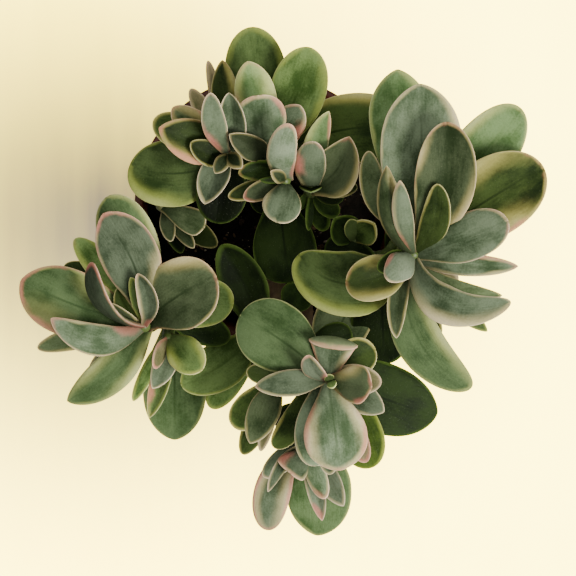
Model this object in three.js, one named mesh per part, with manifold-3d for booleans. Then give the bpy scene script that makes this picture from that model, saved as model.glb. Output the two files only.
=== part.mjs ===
// A variegated jade plant in a small plastic nursery pot.
// Millimetres, +Z up, origin at the centre of the pot's base.
// Each leafy stem is one solid: a round stem that forks into heads, with its fleshy
// leaves grown out of it. It stands in a plain hole in the potting mix.

import * as THREE from "three";
import { mergeVertices } from "three/addons/utils/BufferGeometryUtils.js";
import Module from "manifold-3d";

const wasm = await Module();
wasm.setup();

// The pot
const POT_HEIGHT = 90;
const POT_RIM_RADIUS = 52.5;
const POT_BASE_RADIUS = 38;
const POT_WALL = 1.8;
const POT_FLOOR = 2.4;
const RIM_BAND = 11;
const RIM_STEP = 1.8;
const POT_SIDES = 32;
const DRAIN_RADIUS = 4.5;
const DRAIN_RING = 25;
const DRAIN_COUNT = 5;
const DRAIN_SIDES = 8;

// The potting mix
const SOIL_TOP = 77;
const SOIL_MOUND = 2.5;
const SOIL_SIDES = 24;
const SEAT_GAP = 0.3;

// The stems
const STEM_SIDES = 6;
const STEM_STEPS = 6;

// The leaves
const LEAF_THICKNESS = 3.6;
const LEAF_MIN_THICKNESS = 1.8;
const WIDE_LEAF = 16;
const NARROW_LEAF = 8.5;
const SEED = 20;

// Outline of a leaf: width of its neck, where it is broadest, how blunt its end is
const SPOON = { neck: 0.2, broad: 0.64, blunt: 2.3 };
const OVAL = { neck: 0.34, broad: 0.54, blunt: 2.0 };
const ROUND = { neck: 0.26, broad: 0.58, blunt: 2.7 };
const PAD = { neck: 0.62, broad: 0.5, blunt: 2.4 };
const POINTED = { neck: 0.36, broad: 0.5, blunt: 1.5 };
const FAN = { neck: 0.3, broad: 0.78, blunt: 3.2 };
const HEART = { neck: 0.3, broad: 0.45, blunt: 2.4 };

// Colours
const POT_COLOUR = "#5b2a22";
const SOIL_COLOUR = "#2b2119";
const STEM_COLOURS = ["#7f9a72", "#8ea28c", "#95a78f", "#86a06a", "#7b9560", "#6c8650", "#8b9f80"];

// The leafy stems. A head is one growing tip: path is its stem from the root or the fork up
// to the tip, radius its thickness at both ends. A leaf row holds, in this order:
// how far below the tip it grows, the leaf's own tip x, y, z, its width, roll in degrees,
// bow along its face, cup of its margins, sideways sweep, outline.
// lower is the older pairs further down the stem, placed by a rule:
// how far below the tip they start, number of pairs, spacing, reach, width, first direction.
const STEMS = [
  {
    name: "stem_top",
    heads: [
      {
        path: [[-5, 13, 58], [-6, 13, 95], [-2, 17, 125], [0, 18, 154]],
        radius: [5, 2.6],
        lower: [34, 2, 9, 20, 12, 200],
        leaves: [
          [3, -3.2, 42.3, 178, 19.5, 0, 1, -0.15, 0, SPOON],
          [2, -14.5, 27.6, 170, 10.5, 15, 1, 0.5, -1.5, OVAL],
          [8, 13, 38.8, 166, 13, 0, 1, 0, 0, SPOON],
          [14, -7.5, 55.8, 163, 16, 0, 1, 0.1, -1, SPOON],
          [20, 16.3, 61.5, 158, 22, 0, 1, 0.1, -2.5, SPOON],
          [26, -6.3, 69.5, 150, 24, 0, 2, 0.05, -0.5, SPOON],
          [28, 54, 31, 138, 27.5, 0, 2, 0.1, 5, SPOON],
        ],
      },
      {
        path: [[-6, 13, 95], [2, 10, 118], [6, 10, 140], [7, 10, 160]],
        radius: [3.4, 2.4],
        lower: [0, 0, 0, 0, 0, 0],
        leaves: [
          [4, 8.7, 31.3, 185, 11.5, 0, 2, -0.1, 2, PAD],
          [5, 3.5, -6.3, 168, 15, 0, 2, 0, 1, SPOON],
          [6, -9, 3, 162, 8, 0, 1, 0.2, 0, OVAL],
          [12, -15, 3.6, 154, 7.5, 0, 1, 0.4, 0, OVAL],
          [11, -11, 12.5, 158, 8.5, 0, 1, 0.5, -2.5, OVAL],
          [3, -3, 10, 160, 3, 0, 0, 0.3, 0, POINTED],
          [34, 8.5, -29.6, 106, 25, 0, 1, 0.1, 0, SPOON],
        ],
      },
    ],
  },
  {
    name: "stem_north_west",
    heads: [
      {
        path: [[-12, 19, 58], [-12, 20, 95], [-14, 20, 130], [-15, 20, 160]],
        radius: [4.4, 2.4],
        lower: [46, 1, 9, 13, 11, 100],
        leaves: [
          [2, -21.5, 43.2, 182, 9.5, 0, 1, 0.2, 2, OVAL],
          [4, -16, 43.4, 176, 8, 0, 0, 0.8, -1.5, OVAL],
          [6, -29.3, 24.6, 166, 10, 0, 1, 0.4, 2, OVAL],
          [9, -41.6, 30, 168, 17, 0, 1, 0.35, 0, OVAL],
          [13, -36.5, 38, 160, 13, 0, 1, 0.4, 0, OVAL],
          [22, -44, 33.5, 148, 14, 0, 1, 0.1, 0, SPOON],
          [26, -53.5, 16, 138, 26, 0, 2, 0.1, 5, ROUND],
          [8, -24, 0.7, 160, 12, 0, 1, 0.7, -1.5, OVAL],
          [20, -20, -6.4, 138, 20, 0, 1, 0.2, 0, OVAL],
          [14, -17.2, 56.6, 153, 11.5, 0, 1, 0.2, 0, OVAL],
          [20, -22.8, 56.5, 150, 5.5, 0, 0, 0.2, 0, OVAL],
          [18, -29.6, 45.6, 150, 8, 0, 0, 0.3, 0, OVAL],
        ],
      },
    ],
  },
  {
    name: "stem_north_east",
    heads: [
      {
        path: [[17, 3, 58], [17, 4, 95], [17, 6, 125], [17, 8, 152]],
        radius: [3.8, 2.4],
        lower: [46, 1, 9, 14, 9, 20],
        leaves: [
          [2, 17.7, 24.8, 174, 12.3, 0, 2, -0.1, 0.6, PAD],
          [6, 24, 36.5, 168, 9.5, 0, 1, 0.3, 2, OVAL],
          [5, 31.8, 26.8, 166, 18.5, 0, 1, 0.6, -4, OVAL],
          [8, 17, 5.5, 156, 9, 0, 0, 0.3, 0, PAD],
          [26, 12, -1, 128, 5, 40, 0, 0, 0, OVAL],
          [24, 16.3, -9.2, 124, 6, 60, 0, 0, 0, OVAL],
          [26, 27.8, -3.4, 122, 8, 0, 0, 0.4, 0, OVAL],
          [32, 22.8, -9.2, 116, 8, 0, 0, 0.4, 0, OVAL],
          [34, 12.5, -6.5, 112, 7, 0, 0, 0.3, 0, OVAL],
          [22, 30, 3.5, 128, 8, 0, 0, 0.3, 0, OVAL],
          [14, 35.2, 7.5, 142, 8, 0, 0, 0.3, 0, OVAL],
        ],
      },
    ],
  },
  {
    name: "stem_right",
    heads: [
      {
        path: [[26, -20, 58], [36, -21, 100], [48, -20, 138], [57, -18.5, 168]],
        radius: [5, 2.8],
        lower: [36, 2, 10, 20, 13, 250],
        leaves: [
          [1, 46.2, 15.3, 186, 13, 0, 2, -0.7, 1, OVAL],
          [8, 58.5, 46.7, 182, 31.5, 0, 3, 0.1, -2.5, SPOON],
          [5, 68.3, 31.9, 190, 23.5, 0, 3, 0.3, -6, SPOON],
          [16, 97.5, 38, 168, 23, 0, 2, 0.1, 0, SPOON],
          [12, 106.5, 15, 172, 30.5, 0, 2, 0.25, 1, SPOON],
          [4, 92.4, -5.5, 184, 18.5, 0, 2, 0, -1, OVAL],
          [3, 65.3, 8.3, 186, 11.5, 0, 1, 0.2, -4, OVAL],
          [4, 93.7, -36.8, 178, 15, 0, 2, 0.3, -12, POINTED],
          [16, 91, -34.5, 158, 9.5, 30, 0, 0.2, -6, OVAL],
          [20, 97.4, -23.2, 150, 9, 0, 1, 0.3, -1, OVAL],
          [22, 74.3, -29, 142, 9, 0, 0, 0.2, 0, SPOON],
          [10, 79.5, -70, 148, 18.5, 0, 2, 0.1, -10.5, OVAL],
          [6, 50, -51, 164, 8, 0, 1, 0.5, -2, OVAL],
          [24, 67.3, -50.3, 138, 9, 0, 0, 0.2, 0, OVAL],
          [24, 85.8, -48.5, 136, 9, 0, 1, 0.3, 0, OVAL],
          [3, 46, -28.5, 178, 12, 0, 2, -0.2, 0, POINTED],
          [12, 11.8, -19, 152, 25.5, 0, 2, 0.3, 11, HEART],
          [7, 30.3, -29.5, 166, 17.5, 0, 1, 0.5, 3, ROUND],
          [44, 46, -61.5, 106, 25, 0, 1, 0.1, 0, OVAL],
          [54, 23.5, -57, 112, 22.5, 0, 1, 0.1, 0, ROUND],
        ],
      },
      {
        path: [[46, -20, 132], [51, -13, 146], [54, -6, 156]],
        radius: [3, 2.2],
        lower: [0, 0, 0, 0, 0, 0],
        leaves: [
          [2, 53, 52.9, 158, 21, 0, 2, 0.1, 0, SPOON],
          [6, 39.3, 21.2, 166, 10.5, 0, 1, 0.3, 4, OVAL],
        ],
      },
      {
        path: [[36, -21, 100], [35, -15, 116], [34.5, -12.5, 128]],
        radius: [3, 1.8],
        lower: [0, 0, 0, 0, 0, 0],
        leaves: [
          [4, 26, -4.5, 136, 13, 0, 0, 0.5, 0, ROUND],
          [1, 32.5, -4.8, 140, 7, 0, 0, 0.2, 0, PAD],
          [2, 42, -6.5, 142, 11, 0, 0, 0.4, 0, ROUND],
          [5, 41, -26.5, 134, 9, 0, 0, 0.3, 0, OVAL],
        ],
      },
    ],
  },
  {
    name: "stem_left",
    heads: [
      {
        path: [[-25, -25, 58], [-33, -33, 100], [-42, -42, 135], [-48, -46.5, 160]],
        radius: [5, 2.6],
        lower: [38, 2, 10, 18, 12, 120],
        leaves: [
          [4, -62.7, -3, 180, 22.5, 0, 2, 0.15, -4.2, SPOON],
          [12, -61.3, 3.8, 166, 22, 0, 2, 0.1, -2.5, SPOON],
          [9, -94.8, -28.5, 164, 26, 0, 3, 0.25, 2.5, SPOON],
          [3, -82.8, -43.2, 178, 12.5, 0, 3, -0.1, 7, OVAL],
          [2, -66.5, -21.8, 184, 13, 65, 7, 0, 2, OVAL],
          [5, -19.3, -27, 172, 27.5, 0, 3, 0.25, 2, ROUND],
          [14, -12.8, -37.5, 150, 19, 0, 1, 0.1, 3, ROUND],
          [1, -50.5, -26, 176, 9, 0, 1, 0.6, -3, OVAL],
          [18, -74.6, -12.5, 144, 12.5, 0, 1, 0.1, 0, OVAL],
          [20, -78.8, -23, 142, 13, 0, 1, 0.1, -1, OVAL],
          [10, -77.3, -75.3, 152, 15.5, 0, 2, 0.1, 4, OVAL],
          [26, -89.5, -55, 130, 10, 0, 1, 0.2, 0, OVAL],
          [22, -69, -65, 138, 10, 0, 0, 0.2, 0, OVAL],
          [30, -14.5, -51.5, 122, 13, 0, 0, 0.2, 0, OVAL],
        ],
      },
      {
        path: [[-33, -33, 100], [-37, -43, 124], [-38.5, -51.5, 146]],
        radius: [3.4, 2.2],
        lower: [0, 0, 0, 0, 0, 0],
        leaves: [
          [3, -25, -63.6, 158, 14, 0, 1, 0.3, 0, ROUND],
          [2, -44, -62, 158, 8, 50, 0, 0, 0, OVAL],
          [5, -44.3, -70.5, 152, 9.5, 0, 1, 0.3, 2, OVAL],
          [6, -45.6, -82, 150, 8, 0, 1, 0.6, 1, OVAL],
          [10, -52, -75.5, 140, 6, 0, 0, 0.3, 0, OVAL],
          [30, -36.5, -91.5, 94, 25, 0, 2, 0.1, 0, SPOON],
        ],
      },
    ],
  },
  {
    name: "stem_rim",
    heads: [
      {
        path: [[-37, -2, 58], [-39, -1, 90], [-42, 0.5, 118]],
        radius: [2.8, 1.8],
        lower: [0, 0, 0, 0, 0, 0],
        leaves: [
          [2, -24.3, -7.8, 126, 10.5, 0, 0, 0.2, 0, FAN],
          [9, -19.5, -15.2, 118, 9.5, 0, 0, 0.2, 0, OVAL],
          [12, -37.5, -13.5, 124, 6, 0, 0, 0.2, 0, OVAL],
          [16, -33.5, -18, 112, 7, 0, 0, 0.2, 0, OVAL],
          [12, -28.5, -16, 123, 6, 0, 0, 0.2, 0, OVAL],
        ],
      },
    ],
  },
  {
    name: "stem_mid",
    heads: [
      {
        path: [[-8, -26, 58], [-6, -38, 90], [-4, -50, 114]],
        radius: [3.4, 2.2],
        lower: [0, 0, 0, 0, 0, 0],
        leaves: [
          [3, -18, -14.8, 130, 18, 0, 1, 0.4, -2.5, OVAL],
          [4, -33.6, -69.5, 126, 19, 0, 1, 0.1, 3, OVAL],
          [12, -22, -79, 104, 15, 0, 0, 0.1, 0, OVAL],
          [8, -8.5, -66, 118, 8, 0, 0, 0.3, 0, OVAL],
        ],
      },
    ],
  },
  {
    name: "stem_bottom",
    heads: [
      {
        path: [[2, -23, 58], [5, -36, 95], [12, -52, 130], [20, -63, 152], [24.5, -67.5, 166]],
        radius: [4.6, 2.4],
        lower: [34, 1, 9, 18, 11, 10],
        leaves: [
          [5, -10.3, -42, 170, 26.8, 0, 3, 0.05, -1.5, SPOON],
          [3, -4.5, -69.4, 176, 10.5, 0, 2, 0, 0, OVAL],
          [3, 26, -48.6, 184, 21, 0, 2, -0.2, 0, FAN],
          [1, 15.5, -57.2, 180, 7, 40, 1, 0.3, 1.5, OVAL],
          [0, 23.5, -64.8, 172, 4, 0, 0, 0.2, 0, OVAL],
          [0, 25.8, -70, 172, 4, 0, 0, 0.2, 0, OVAL],
          [2, 40.5, -69.5, 176, 15, 0, 0, 0.4, 0, FAN],
          [7, 44.3, -68, 166, 12, 0, 0, 0.3, 0, OVAL],
          [8, 45.3, -79.3, 164, 12.5, 0, 0, 0.3, 0, OVAL],
          [3, 28.3, -101.8, 172, 24.5, 0, 2, -0.1, 0, SPOON],
          [10, 18.5, -100.5, 158, 16, 0, 1, 0.1, -1, SPOON],
          [14, 24.5, -103.9, 150, 10, 0, 0, 0.2, 0, SPOON],
          [8, 38.5, -98.8, 164, 10, 0, 0, 0.3, 0, SPOON],
          [15, 40.5, -101.3, 150, 19, 0, 1, 0.1, 2, SPOON],
          [24, 66.5, -80.3, 134, 27.5, 0, 2, 0.1, -3, ROUND],
          [12, 42, -55, 156, 15, 0, 0, 0.4, 0, ROUND],
          [20, 2.5, -93.5, 140, 10.5, 0, 1, 0.3, 3, SPOON],
          [66, 15, -30, 104, 13, 0, 0, 0.1, 0, OVAL],
        ],
      },
      {
        path: [[12, -52, 130], [7, -61, 138], [4, -68, 147]],
        radius: [2.6, 2],
        lower: [0, 0, 0, 0, 0, 0],
        leaves: [
          [4, -13, -85.6, 144, 13, 0, 1, 0.3, 0, SPOON],
          [2, -6.5, -91.7, 156, 12.5, 0, 1, 0.2, 0, OVAL],
          [8, -9.5, -96.4, 134, 10.5, 0, 1, 0.1, 0, OVAL],
          [5, -2.5, -95, 142, 6, 0, 0, 0.3, 0, OVAL],
          [3, -8, -63.8, 148, 8, 0, 0, 0.3, 0, OVAL],
        ],
      },
    ],
  },
  {
    name: "stem_low",
    heads: [
      {
        path: [[15, -27, 58], [15, -37, 84], [14.5, -53, 102], [15, -75, 116], [15.5, -96, 134]],
        radius: [4, 2.4],
        lower: [26, 1, 9, 17, 11, 230],
        leaves: [
          [13, 19.5, -127.5, 116, 25.6, 0, 2, 0.05, 2.6, ROUND],
          [11, 0.6, -126.4, 120, 14.5, 0, 2, 0.1, -4.3, SPOON],
          [7, -1.5, -105, 134, 9, 0, 0, 0.2, 0, OVAL],
          [2, 8.5, -103, 146, 13, 0, 0, -0.1, 0, FAN],
          [5, 0.3, -110.8, 142, 6, 30, 0, 0.2, -3, OVAL],
          [2, 22.5, -113.3, 148, 8, 0, 0, 0, 0, OVAL],
          [5, 21.5, -122, 142, 7.5, 0, 0, 0.6, 0, OVAL],
          [4, 29.8, -116.3, 144, 10, 0, 0, 0.4, 0, OVAL],
        ],
      },
    ],
  },
];

// A repeatable random number between 0 and 1 from a whole number
function chance(seed) {
  const wave = Math.sin(seed * 127.1 + SEED * 311.7) * 43758.5453;
  return wave - Math.floor(wave);
}

// Closed solid through rings of points that all have as many sides, ends closed by fans.
// Each ring runs the same way round, so that the faces point out.
function loft(rings) {
  const sides = rings[0].length;
  const points = rings.flat().map((point) => [point.x, point.y, point.z]);
  const faces = [];
  for (let ring = 0; ring < rings.length - 1; ring += 1) {
    for (let side = 0; side < sides; side += 1) {
      const next = (side + 1) % sides;
      const a = ring * sides + side;
      const b = ring * sides + next;
      const c = a + sides;
      const d = b + sides;
      faces.push(a, b, c, b, d, c);
    }
  }
  const last = (rings.length - 1) * sides;
  for (let side = 1; side < sides - 1; side += 1) {
    faces.push(0, side + 1, side);
    faces.push(last, last + side, last + side + 1);
  }
  const geometry = new THREE.BufferGeometry();
  geometry.setAttribute("position", new THREE.Float32BufferAttribute(points.flat(), 3));
  geometry.setIndex(faces);
  return geometry;
}

// The solid of a closed geometry
function solidOf(geometry) {
  const bare = geometry.clone();
  bare.deleteAttribute("normal");
  bare.deleteAttribute("uv");
  const welded = mergeVertices(bare, 1e-4);
  const mesh = new wasm.Mesh({
    numProp: 3,
    vertProperties: Float32Array.from(welded.attributes.position.array),
    triVerts: Uint32Array.from(welded.index.array),
  });
  return new wasm.Manifold(mesh);
}

// The geometry of a solid: its one outer body, with sealed hollows filled
function geometryOf(solid) {
  const bodies = solid.decompose();
  const body = bodies.reduce((best, each) => (each.volume() > best.volume() ? each : best));
  const mesh = body.getMesh();
  const geometry = new THREE.BufferGeometry();
  geometry.setAttribute("position", new THREE.Float32BufferAttribute(mesh.vertProperties, 3));
  geometry.setIndex(Array.from(mesh.triVerts));
  return geometry;
}

// Half the width of a leaf at t, as a share of half its full width
function outline(shape, t) {
  if (t <= shape.broad) {
    const swell = Math.sin((Math.PI / 2) * (t / shape.broad)) ** 1.6;
    return shape.neck + (1 - shape.neck) * swell;
  }
  return Math.sqrt(Math.max(0, 1 - ((t - shape.broad) / (1 - shape.broad)) ** shape.blunt));
}

// Half the thickness of a leaf at t, for its full half thickness
function bulk(t) {
  return (0.72 + 0.28 * Math.sin(Math.PI * t)) * Math.sqrt(Math.max(0, 1 - t ** 7));
}

// Where a leaf is sampled: along its length, and across it from margin to margin
function leafGrid(width) {
  if (width >= WIDE_LEAF) {
    return { along: [0, 0.3, 0.58, 0.82, 0.96], across: [-1, -0.55, 0, 0.55, 1] };
  }
  if (width >= NARROW_LEAF) {
    return { along: [0, 0.36, 0.68, 0.93], across: [-1, -0.45, 0.45, 1] };
  }
  return { along: [0, 0.42, 0.84], across: [-1, 0, 1] };
}

// One leaf: a bowed centreline from its base to its tip, and across it a lens whose
// margins rise with the cup
function leafSolid(base, row) {
  const [, x, y, z, width, roll, bow, cup, sweep, shape] = row;
  const tip = new THREE.Vector3(x, y, z);
  const chord = tip.clone().sub(base);
  const along = chord.clone().normalize();
  const up = new THREE.Vector3(0, 0, 1);
  const face = up.addScaledVector(along, -along.z).normalize();
  face.applyAxisAngle(along, THREE.MathUtils.degToRad(-roll));
  const side = face.clone().cross(along);
  const thickness = Math.max(LEAF_MIN_THICKNESS, Math.min(LEAF_THICKNESS, width * 0.24));
  const grid = leafGrid(width);
  const rings = grid.along.map((t) => {
    const arch = 4 * t * (1 - t);
    const slope = 4 * (1 - 2 * t);
    const centre = base.clone().addScaledVector(chord, t);
    centre.addScaledVector(face, bow * arch).addScaledVector(side, sweep * arch);
    const heading = chord.clone().addScaledVector(face, bow * slope);
    heading.addScaledVector(side, sweep * slope).normalize();
    const across = side.clone().addScaledVector(heading, -side.dot(heading)).normalize();
    const normal = heading.clone().cross(across);
    const halfWidth = (width / 2) * outline(shape, t);
    const halfThickness = (thickness / 2) * bulk(t);
    const point = (u, sign) => {
      const rise = cup * halfWidth * (0.5 * Math.abs(u) + 0.5 * u * u);
      const skin = sign * halfThickness * (1 - Math.abs(u) ** 2.6) ** 0.6;
      return centre.clone().addScaledVector(across, -u * halfWidth).addScaledVector(normal, rise + skin);
    };
    const top = grid.across.map((u) => point(u, 1));
    const under = grid.across.slice(1, -1).reverse().map((u) => point(u, -1));
    return [...top, ...under];
  });
  const end = rings.at(-1).map(() => tip.clone());
  return solidOf(loft([...rings, end]));
}

// The curve that a head's stem follows
function stemCurve(head) {
  return new THREE.CatmullRomCurve3(head.path.map((point) => new THREE.Vector3(...point)));
}

// A round stem along its curve, tapering to its growing tip. With a margin it is the hole
// that clears the stem by that much all round.
function stemSolid(head, margin = 0) {
  const curve = stemCurve(head);
  const rings = [];
  for (let step = 0; step <= STEM_STEPS; step += 1) {
    const t = step / STEM_STEPS;
    const heading = curve.getTangentAt(t);
    const centre = curve.getPointAt(t).addScaledVector(heading, step === 0 ? -margin : 0);
    const right = new THREE.Vector3(0, 1, 0).cross(heading).normalize();
    const back = heading.clone().cross(right);
    const radius = THREE.MathUtils.lerp(head.radius[0], head.radius[1], t) + margin;
    const ring = [];
    for (let side = 0; side < STEM_SIDES; side += 1) {
      const angle = (2 * Math.PI * side) / STEM_SIDES;
      const point = centre.clone().addScaledVector(right, radius * Math.cos(angle));
      ring.push(point.addScaledVector(back, radius * Math.sin(angle)));
    }
    rings.push(ring);
  }
  return solidOf(loft(rings));
}

// The point on a head's stem a given length below its tip
function pointBelowTip(head, drop) {
  const curve = stemCurve(head);
  return curve.getPointAt(Math.max(0, 1 - drop / curve.getLength()));
}

// The rows of a head's older leaves: opposite pairs, each turned a quarter from the last
function lowerRows(head) {
  const [start, pairs, spacing, reach, width, direction] = head.lower;
  const rows = [];
  for (let pair = 0; pair < pairs; pair += 1) {
    const drop = start + pair * spacing;
    const base = pointBelowTip(head, drop);
    for (const half of [0, 180]) {
      const draw = chance(drop * 3 + half + base.x);
      const angle = THREE.MathUtils.degToRad(direction + 90 * pair + half + 24 * (draw - 0.5));
      const length = reach * (0.85 + 0.3 * draw);
      const tip = [base.x + length * Math.cos(angle), base.y + length * Math.sin(angle)];
      rows.push([drop, tip[0], tip[1], base.z + 5 - 6 * draw, width * (0.9 + 0.2 * draw), 0, 2, 0.1, 0, SPOON]);
    }
  }
  return rows;
}

// One leafy stem with all its heads
function leafyStem(stem) {
  let solid = null;
  for (const head of stem.heads) {
    const pieces = [stemSolid(head)];
    for (const row of [...head.leaves, ...lowerRows(head)]) {
      pieces.push(leafSolid(pointBelowTip(head, row[0]), row));
    }
    for (const piece of pieces) {
      solid = solid ? solid.add(piece) : piece;
    }
  }
  return geometryOf(solid);
}

// The pot: a tapered cup with a band at the rim and drain holes round its floor
function potGeometry() {
  const shoulder = POT_RIM_RADIUS - RIM_STEP;
  const rimZ = POT_HEIGHT - RIM_BAND;
  const innerTop = POT_RIM_RADIUS - RIM_STEP - POT_WALL;
  const innerBase = POT_BASE_RADIUS - POT_WALL;
  const profile = [
    [0, 0],
    [POT_BASE_RADIUS - 1.5, 0],
    [POT_BASE_RADIUS, 1.5],
    [shoulder - 0.8, rimZ],
    [POT_RIM_RADIUS - 0.4, rimZ + 0.8],
    [POT_RIM_RADIUS, POT_HEIGHT - 1.2],
    [POT_RIM_RADIUS - 0.9, POT_HEIGHT],
    [innerTop + 0.8, POT_HEIGHT],
    [innerTop, POT_HEIGHT - 1.2],
    [innerBase, POT_FLOOR],
    [0, POT_FLOOR],
  ];
  const points = profile.map(([radius, height]) => new THREE.Vector2(radius, height));
  const cup = new THREE.LatheGeometry(points, POT_SIDES).rotateX(Math.PI / 2);
  let pot = solidOf(cup);
  for (let hole = 0; hole < DRAIN_COUNT; hole += 1) {
    const angle = (2 * Math.PI * (hole + 0.5)) / DRAIN_COUNT;
    const drill = new THREE.CylinderGeometry(DRAIN_RADIUS, DRAIN_RADIUS, 4 * POT_FLOOR, DRAIN_SIDES);
    drill.rotateX(Math.PI / 2);
    drill.translate(DRAIN_RING * Math.cos(angle), DRAIN_RING * Math.sin(angle), 0);
    pot = pot.subtract(solidOf(drill));
  }
  return geometryOf(pot);
}

// Radius of the pot's inner wall at a height
function innerRadius(height) {
  const top = POT_RIM_RADIUS - RIM_STEP - POT_WALL;
  const base = POT_BASE_RADIUS - POT_WALL;
  return THREE.MathUtils.mapLinear(height, POT_FLOOR, POT_HEIGHT - 1.2, base, top);
}

// The potting mix: it fills the pot, mounds a little, and has a hole for each stem's root
function soilGeometry() {
  const bottom = POT_FLOOR + SEAT_GAP;
  const chordRatio = Math.cos(Math.PI / POT_SIDES);
  const clear = (height) => innerRadius(height) * chordRatio - SEAT_GAP;
  const top = clear(SOIL_TOP);
  const profile = [
    [0, bottom],
    [clear(bottom), bottom],
    [top, SOIL_TOP],
    [top * 0.86, SOIL_TOP + 0.9],
    [top * 0.55, SOIL_TOP + SOIL_MOUND * 0.8],
    [0, SOIL_TOP + SOIL_MOUND],
  ];
  const points = profile.map(([radius, height]) => new THREE.Vector2(radius, height));
  let soil = solidOf(new THREE.LatheGeometry(points, SOIL_SIDES).rotateX(Math.PI / 2));
  for (const stem of STEMS) {
    soil = soil.subtract(stemSolid(stem.heads[0], SEAT_GAP));
  }
  return geometryOf(soil);
}

// A named mesh of one colour
function piece(name, geometry, colour, roughness) {
  const flat = geometry.toNonIndexed();
  flat.computeVertexNormals();
  const material = new THREE.MeshStandardMaterial({ color: colour, roughness, metalness: 0 });
  const mesh = new THREE.Mesh(flat, material);
  mesh.name = name;
  return mesh;
}

const plant = new THREE.Group();
plant.add(piece("pot", potGeometry(), POT_COLOUR, 0.45));
plant.add(piece("soil", soilGeometry(), SOIL_COLOUR, 0.95));
STEMS.forEach((stem, index) => {
  plant.add(piece(stem.name, leafyStem(stem), STEM_COLOURS[index % STEM_COLOURS.length], 0.5));
});

export default plant;
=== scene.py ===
"""A variegated jade plant in a small plastic pot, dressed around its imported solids.

Each leafy stem is rebuilt as one smooth surface that stands for its solid, and the pot and
the top of the potting mix get their finer forms. Tables are in millimetres, meshes in metres,
in the solids' own frame: +Z up, origin at the centre of the pot's base.
"""

import logging
import math
from dataclasses import dataclass
from enum import Enum
from typing import Sequence

import bpy
import numpy as np
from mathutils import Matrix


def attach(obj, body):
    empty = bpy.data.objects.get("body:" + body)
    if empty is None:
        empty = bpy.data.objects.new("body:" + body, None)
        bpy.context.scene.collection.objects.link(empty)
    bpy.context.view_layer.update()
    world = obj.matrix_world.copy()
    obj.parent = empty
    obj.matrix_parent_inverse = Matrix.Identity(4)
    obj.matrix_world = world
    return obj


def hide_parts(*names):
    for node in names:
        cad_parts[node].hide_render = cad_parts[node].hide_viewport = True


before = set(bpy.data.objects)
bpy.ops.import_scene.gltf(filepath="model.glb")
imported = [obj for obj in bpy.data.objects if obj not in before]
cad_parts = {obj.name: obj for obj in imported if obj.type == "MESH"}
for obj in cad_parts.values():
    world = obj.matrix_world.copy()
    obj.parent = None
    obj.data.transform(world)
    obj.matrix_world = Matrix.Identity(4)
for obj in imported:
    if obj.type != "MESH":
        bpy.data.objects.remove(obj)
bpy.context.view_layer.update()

log = logging.getLogger("jade_plant")

MM = 0.001
BODY = "root"
HASH_X, HASH_Y, HASH_SEED, HASH_GAIN = 127.1, 311.7, 74.7, 43758.5453
Array = np.ndarray
Colour = tuple[float, float, float]


def srgb(red: int, green: int, blue: int) -> Colour:
    """Linear colour of an sRGB colour given in steps of 1/255.

    Args:
        red: red, 0 to 255.
        green: green, 0 to 255.
        blue: blue, 0 to 255.

    Returns:
        The three linear channels.
    """
    channels = [step / 255 for step in (red, green, blue)]
    return tuple(c / 12.92 if c <= 0.04045 else ((c + 0.055) / 1.055) ** 2.4 for c in channels)


def opaque(colour: Colour) -> tuple[float, float, float, float]:
    """The colour with full alpha."""
    return (*colour, 1.0)


# Sizes and finishes


@dataclass(frozen=True)
class Outline:
    """Outline of a leaf: width of its neck, where it is broadest, how blunt and how pointed its end is."""

    neck: float
    broad: float
    blunt: float
    point: float = 0.5

    def half_width(self, t: Array) -> Array:
        """Share of the half width at t: a sine swell up to the broadest place, then a blunt fall.

        Args:
            t: places along the leaf, 0 at its base and 1 at its tip.

        Returns:
            The share of the half width there.
        """
        rise = np.clip(t / self.broad, 0, 1)
        swell = self.neck + (1 - self.neck) * np.sin(np.pi / 2 * rise) ** 1.6
        fall = np.clip((t - self.broad) / (1 - self.broad), 0, 1)
        return np.where(t <= self.broad, swell, np.maximum(0, 1 - fall**self.blunt) ** self.point)


SPOON = Outline(0.2, 0.64, 2.3)
OVAL = Outline(0.34, 0.54, 2.0)
ROUND = Outline(0.26, 0.58, 2.7)
PAD = Outline(0.62, 0.5, 2.4)
POINTED = Outline(0.36, 0.5, 1.5)
FAN = Outline(0.3, 0.78, 3.2)
HEART = Outline(0.3, 0.45, 2.4)
DROP = Outline(0.2, 0.62, 2.6, 0.66)
ACUTE = Outline(0.34, 0.52, 2.2, 0.7)
SHIELD = Outline(0.26, 0.54, 2.5, 0.66)
SPADE = Outline(0.2, 0.7, 2.1, 0.72)
SHEATH = Outline(0.66, 0.42, 1.8, 0.8)


@dataclass(frozen=True)
class LeafFinish:
    """Colours of one kind of leaf: its blade, the streaks in it, its pale fringe and its rim."""

    blade: Colour
    streak: Colour
    fringe: Colour
    rim: Colour


SILVER = LeafFinish(srgb(86, 98, 76), srgb(42, 55, 35), srgb(166, 158, 112), srgb(224, 206, 172))
PALE = LeafFinish(srgb(118, 131, 106), srgb(72, 88, 62), srgb(192, 178, 130), srgb(230, 213, 180))
DUSKY = LeafFinish(srgb(65, 75, 51), srgb(30, 42, 21), srgb(154, 144, 92), srgb(208, 192, 152))
DARK = LeafFinish(srgb(47, 60, 27), srgb(17, 28, 8), srgb(158, 152, 84), srgb(196, 190, 138))
# DEEP: the darkest green, for leaves low and in shadow; its darkness is partly the leaves' own and partly
# painted shade
DEEP = LeafFinish(srgb(29, 42, 15), srgb(9, 18, 5), srgb(66, 88, 32), srgb(98, 114, 56))
OLIVE = LeafFinish(srgb(75, 92, 51), srgb(34, 51, 19), srgb(136, 147, 70), srgb(192, 194, 128))
FRESH = LeafFinish(srgb(89, 110, 70), srgb(48, 70, 34), srgb(154, 162, 96), srgb(208, 210, 154))
BRIGHT = LeafFinish(srgb(74, 92, 31), srgb(36, 54, 10), srgb(136, 148, 58), srgb(182, 186, 106))
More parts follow.
